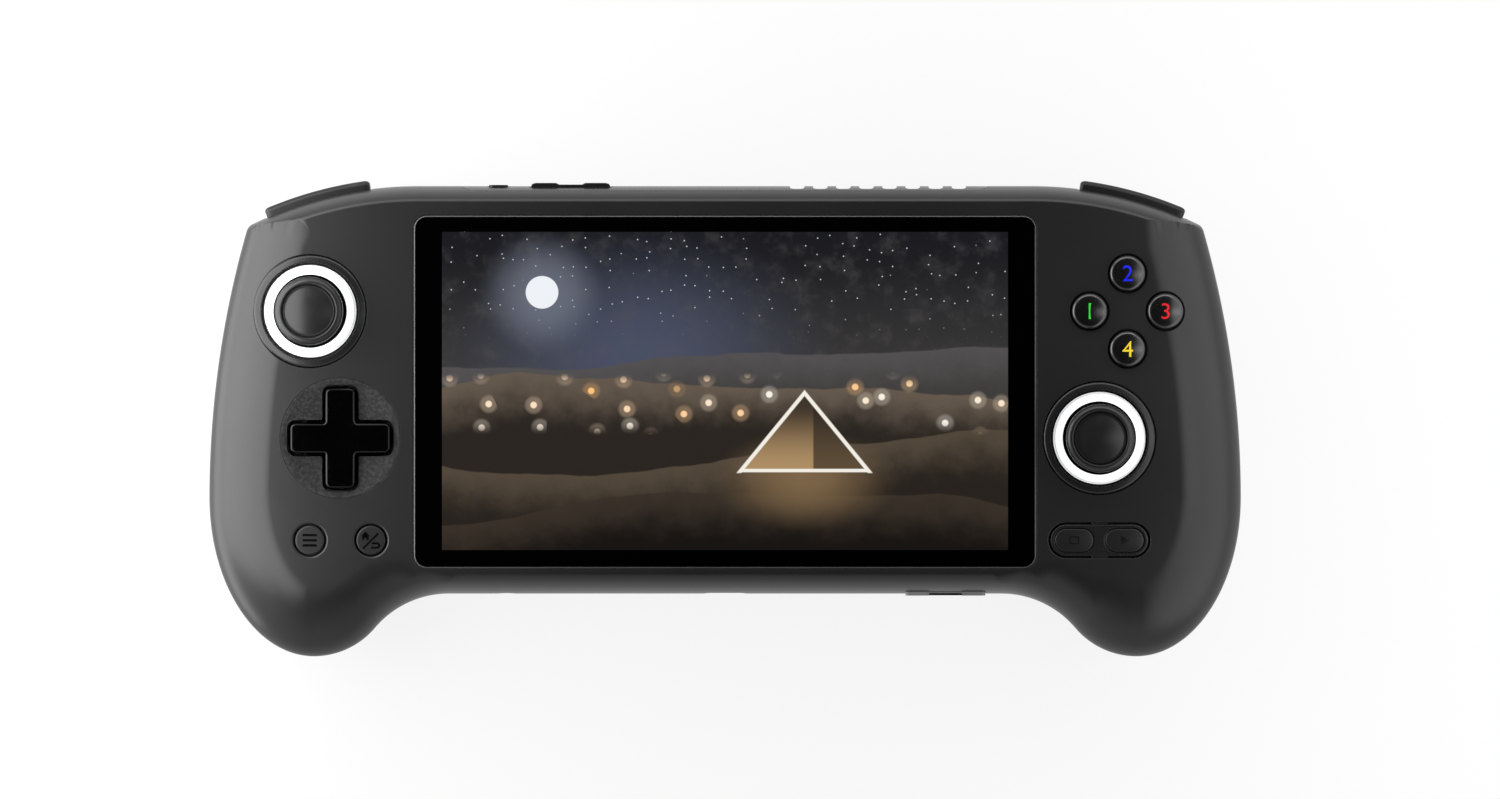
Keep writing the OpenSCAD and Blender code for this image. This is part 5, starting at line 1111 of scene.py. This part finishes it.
mark("menu_mark", [bar(0, y, 3.1, 0.52) for y in (-1.1, 0, 1.1)], MENU, flat_top(Z_FACE + 0.05), INK_BLACK,
     "menu_button", 0.9)
house = [[(-2.15, 0.85), (-1.15, 1.9), (-0.15, 0.85), (-0.45, 0.85), (-0.45, 0.05), (-0.9, 0.05), (-0.9, 0.5),
          (-1.4, 0.5), (-1.4, 0.05), (-1.85, 0.05), (-1.85, 0.85)]]
slash = thick([(-1.65, -1.78), (1.6, 1.5)], 0.4)
bend = arc((1.35, -1.12), 0.47, 90, -90, 10)
hook = thick([(0.2, -0.65), (1.0, -0.65)] + bend + [(1.0, -1.59), (0.05, -1.59)], 0.42)
mark("home_mark", [house, slash, hook], HOME, flat_top(Z_FACE + 0.05), INK_BLACK, "home_button", 0.9)
frame_sign = [[rrect((0, 0), 2.1, 1.7, 0.2, 3), rrect((0, 0), 1.5, 1.1, 0.1, 3)[::-1]]]
play_sign = [[[(-0.8, -1.0), (1.0, 0.0), (-0.8, 1.0)]]]
for s, key, shape in ((-1, "select", frame_sign), (1, "start", play_sign)):
    c = (PILL[0] + s * PILL_PITCH / 2, PILL[1])
    mark(key + "_mark", shape, c, flat_top(Z_FACE + 0.1), INK_FAINT, key + "_button", 0.9)


# Bumpers and triggers
def round_ends(half, mm, r, n):
    """Angles from end to end with the inset of the section at each, so the ends are rolled over."""
    e = math.degrees(mm / r)
    head = [(-half + e * (1 - math.cos(t)), mm * (1 - math.sin(t))) for t in [math.pi / 2 * i / 6 for i in range(7)]]
    body = [(a, 0.0) for a in span(half - e, n)][1:-1]
    return head + body + [(-a, q) for a, q in head[::-1]]


def bumper(mirror):
    r0, r1, z0, z1 = BUMPER_R - BUMPER_DEEP, BUMPER_R, Z_BUMPER, Z_BUMPER + BUMPER_H
    rings = []
    for a, q in round_ends(BUMPER_HALF, 1.1, r1, 28):
        sec = [(r0, z1 - q), (r0, z0 + q)]
        sec += arc((r1 - 0.9 - q * 0.6, z0 + 0.9 + q * 0.6), 0.9, -90, 0, 6)
        sec += arc((r1 - 1.1 - q * 0.6, z1 - 1.1 - q * 0.6), 1.1, 0, 90, 8)
        rings.append([(*polar(r, a, mirror), z) for r, z in sec])
    return Build().stack(rings)


def lever():
    r, z, t = SHOULDER_R, TRIGGER_TIP, Z_BUMPER - 0.5
    h = t - z
    p = [(r - 5.2, t), (r - 2, t), (r + 0.5, t), (r + 0.2, z + 0.72 * h), (r - 0.4, z + 0.45 * h),
         (r + 0.2, z + 0.24 * h), (r + 1.5, z + 0.06 * h), (r + 1.1, z - 0.1), (r - 0.6, z + 0.02 * h),
         (r - 3, z + 0.22 * h), (r - 4.5, z + 0.46 * h), (r - 5.1, z + 0.66 * h), (r - 5.2, z + 0.8 * h)]
    for _ in range(3):
        p = [(lerp(a[0], c[0], f), lerp(a[1], c[1], f)) for a, c in zip(p, p[1:] + p[:1]) for f in (0.25, 0.75)]
    return p


def trigger(mirror):
    b = Build()
    base = lever()
    t = Z_BUMPER - 0.5
    low = min(z for _, z in base)
    mid = (sum(r for r, _ in base) / len(base), sum(z for _, z in base) / len(base))
    side = SHOULDER_R * math.sin(math.radians(TRIGGER_HALF))
    rings = []
    for a, q in round_ends(TRIGGER_HALF, 0.7, SHOULDER_R, 34):
        x = abs(SHOULDER_R * math.sin(math.radians(a)))
        over = max(0.0, x - (side - TRIGGER_CORNER))
        lift = TRIGGER_CORNER - math.sqrt(max(TRIGGER_CORNER ** 2 - over ** 2, 0.0))
        f = (t - low - lift) / (t - low)
        sec = []
        for r, z in base:
            z = t - (t - z) * f
            d = math.hypot(r - mid[0], z - mid[1])
            sec.append((r - (r - mid[0]) / d * q, z - (z - mid[1]) / d * q))
        rings.append([(*polar(r, a, mirror), z) for r, z in sec])
    b.stack(rings)
    # the barrel on the pin, and the arm that carries the lever

    def local(x, y, z):
        g = math.radians(-BUMPER_MID)
        px = SHOULDER_C[0] + x * math.cos(g) - y * math.sin(g)
        py = SHOULDER_C[1] + x * math.sin(g) + y * math.cos(g)
        return ((-px if mirror else px), py, z)

    def tube(r, x):
        return [local(x, BARREL_Y + p, Z_BARREL + q) for p, q in circle((0, 0), r, 32)]

    barrel = ((1.05, -8.3), (BARREL_R - 0.1, -8.3), (BARREL_R, -8.2), (BARREL_R, 4.9), (BARREL_R - 0.1, 5), (1.05, 5))
    b.stack([tube(r, x) for r, x in barrel], wrap=True)
    y0, y1, z0, z1 = BARREL_Y + 1.6, SHOULDER_R - 4.0, t - 2.6, t - 0.2
    b.stack([[local(x, y0, z0), local(x, y1, z0), local(x, y1, z1), local(x, y0, z1)] for x in (-8.3, 5)])
    return b


for side, mirror in (("left", True), ("right", False)):
    make(side + "_bumper_bar", bumper(mirror), KEY_EDGE, side + "_bumper", [side + "_bumper"])
    make(side + "_trigger_lever", trigger(mirror), TRIGGER, side + "_trigger", [side + "_trigger"])


# Card slot frame, with its finger notch
def upright(w, h, r, rows, z=0.0):
    line = [rrect((0, 0), w - 2 * q, h - 2 * q, r, 8) for q, y in rows]
    return Build().stack([along_y(p, -BOTTOM + y, Z_CARD + z, CARD_X) for p, (q, y) in zip(line, rows)])


def in_notch(q):
    x, y, z = q.center / MM
    return (abs(x - CARD_X) < NOTCH_W / 2 + 0.01 and y > -BOTTOM - CARD_UP + 0.02
            and Z_CARD - 1.7 < z < Z_CARD + CARD_H / 2 - 0.05)


low = -CARD_UP
bar_rows = [(0.15, low), (0.04, low + 0.05), (0, low + 0.16), (0, WALL + 0.6)]
trim = make("card_slot_frame", upright(CARD_LEN, CARD_H, 0.9, bar_rows), CARD_TRIM, "chassis",
            ["card_frame"])
cut(trim, [upright(11.6, 1.2, 0.5, [(0, low - 1), (0, WALL + 2)]),
           upright(NOTCH_W, CARD_H + 1.0, 0.7, [(0, low - 1), (0, low + 0.55)], 1.1)])
shade(trim, 34)
# The notch's faces are near-black: painted shade in the notch.
second(trim, BOOT_AND_SHADE, in_notch)


# CAD pieces that stay, with their finishes
finish = {
    "shell": SHELL, "trim": TRIM, "dish": DISH, "trigger": TRIGGER, "glass": GLASS, "display": PANEL,
    "frame_alloy": ALLOY, "board": BOARD, "battery_wrap": WRAP, "fan_plastic": FAN_MAT, "copper": COPPER,
    "port_metal": PORT, "dark_plastic": DARK, "card_trim": CARD_TRIM, "light_ring": RING, "module_metal": MODULE,
    "membrane": MEMBRANE, "steel": STEEL, "cap_rubber": CAP, "gloss_key": GLOSS, "small_key": SMALL_KEY,
    "edge_key": KEY_EDGE,
}
slot_of = {p["node"]: p["material_slot"] for p in frame["record"]["subparts"]}
soft_edges = {"top_panel": 0.12, "power_button": 0.2, "volume_rocker": 0.2, "usb_c_port": 0.08, "headphone_jack": 0.1,
              "case_screws": 0.08, "fan_housing": 0.1, "fan_impeller": 0.06}
for name, ob in frame["nodes"].items():
    mat = finish.get(slot_of.get(name), DARK)
    if ob.data.materials:
        for i in range(len(ob.data.materials)):
            ob.data.materials[i] = mat
    else:
        ob.data.materials.append(mat)
    weld = ob.modifiers.new("weld", "WELD")
    weld.merge_threshold = 0.002 * MM
    if name in soft_edges:
        bev = ob.modifiers.new("soft", "BEVEL")
        bev.width = soft_edges[name] * MM
        bev.segments = 3
        bev.limit_method = "ANGLE"
        bev.angle_limit = math.radians(40)
        bev.harden_normals = True

# Camera: straight down, through a long lens
PHOTO_W, PHOTO_H, MIDDLE, SCALE = 1500, 799, (725, 418.5), 4.666
OFF_X, OFF_Y = PHOTO_W / 2 / SCALE - MIDDLE[0] / SCALE, MIDDLE[1] / SCALE - PHOTO_H / 2 / SCALE
FAR, SENSOR = 2000.0, 36.0
cam_data = bpy.data.cameras.new("camera")
cam = bpy.data.objects.new("camera", cam_data)
scene.collection.objects.link(cam)
cam.location = (OFF_X * MM, OFF_Y * MM, (Z_FACE + FAR) * MM)
cam_data.sensor_fit = "HORIZONTAL"
cam_data.sensor_width = SENSOR
cam_data.lens = SENSOR * FAR / (PHOTO_W / SCALE)
cam_data.clip_start, cam_data.clip_end = 0.05, 20.0
scene.camera = cam

# Floor, world and lamps
FLOOR_HALF, Z_GROUND = 3000, -0.05
b = Build()
b.f.append(b.ring([(x * FLOOR_HALF, y * FLOOR_HALF, Z_GROUND) for x, y in ((-1, -1), (1, -1), (1, 1), (-1, 1))]))
m = paint("floor")
tone = m.mix(m.noise(3.0, 3.0, 0.5), (0.86, 0.86, 0.86, 1), (0.88, 0.88, 0.88, 1))
soft = m.node("ShaderNodeBsdfDiffuse", {"Color": tone})
plain = m.node("ShaderNodeEmission", {"Color": (1, 1, 1, 1), "Strength": 1.0})
path = m.node("ShaderNodeLightPath").outputs
clear = m.add(path["Is Glossy Ray"], path["Is Transmission Ray"])
seen = m.math("ADD", path["Is Camera Ray"], clear, clamp=True)
m.show(m.node("ShaderNodeMixShader", {0: m.mul(seen, 0.86), 1: soft.outputs[0], 2: plain.outputs[0]}))
floor = make("floor", b, m.mat, None)

RIM_LEVEL, LEAN = 0.65, -0.17
scene.world = bpy.data.worlds.new("studio")
m = Nodes(scene.world, "ShaderNodeOutputWorld", "Generated")
way = m.node("ShaderNodeSeparateXYZ", {0: m.place}).outputs
level = m.mul(m.step(way[2], 0.5, 0.9, 1.0, 0.0), m.math("MULTIPLY_ADD", way[0], LEAN, RIM_LEVEL))
m.show(m.node("ShaderNodeBackground", {"Color": (1, 1, 1, 1), "Strength": level}))


def lamp(name, x, y, z, w_mm, h_mm, level, aim):
    """A soft box of an even brightness, aimed at a point; 1 is as bright as a white card in the plain light."""
    data = bpy.data.lights.new(name, "AREA")
    data.shape = "RECTANGLE"
    data.size, data.size_y = w_mm * MM, h_mm * MM
    data.energy = level * math.pi * w_mm * h_mm * MM * MM
    ob = bpy.data.objects.new(name, data)
    ob.visible_camera = False
    scene.collection.objects.link(ob)
    ob.location = (x * MM, y * MM, z * MM)
    ob.rotation_euler = (Vector(aim) - Vector((x, y, z))).to_track_quat("-Z", "Y").to_euler()


lamp("left_softbox", -191, 45, 85, 230, 179, 4.3, (-152, 45, -7))
lamp("left_strip", -190, 10, 17, 280, 34, 3.8, (-100, 10, 24))
lamp("right_softbox", 201.5, 0, 85, 320, 179, 1.15, (162.5, 0, -7))
lamp("right_high", 560, 0, 1030, 500, 174, 1.5, (560, 0, 0))
lamp("top_softbox", 0, 330, 190, 500, 240, 1.7, (0, 160, 10))

scene.view_settings.view_transform = "Standard"
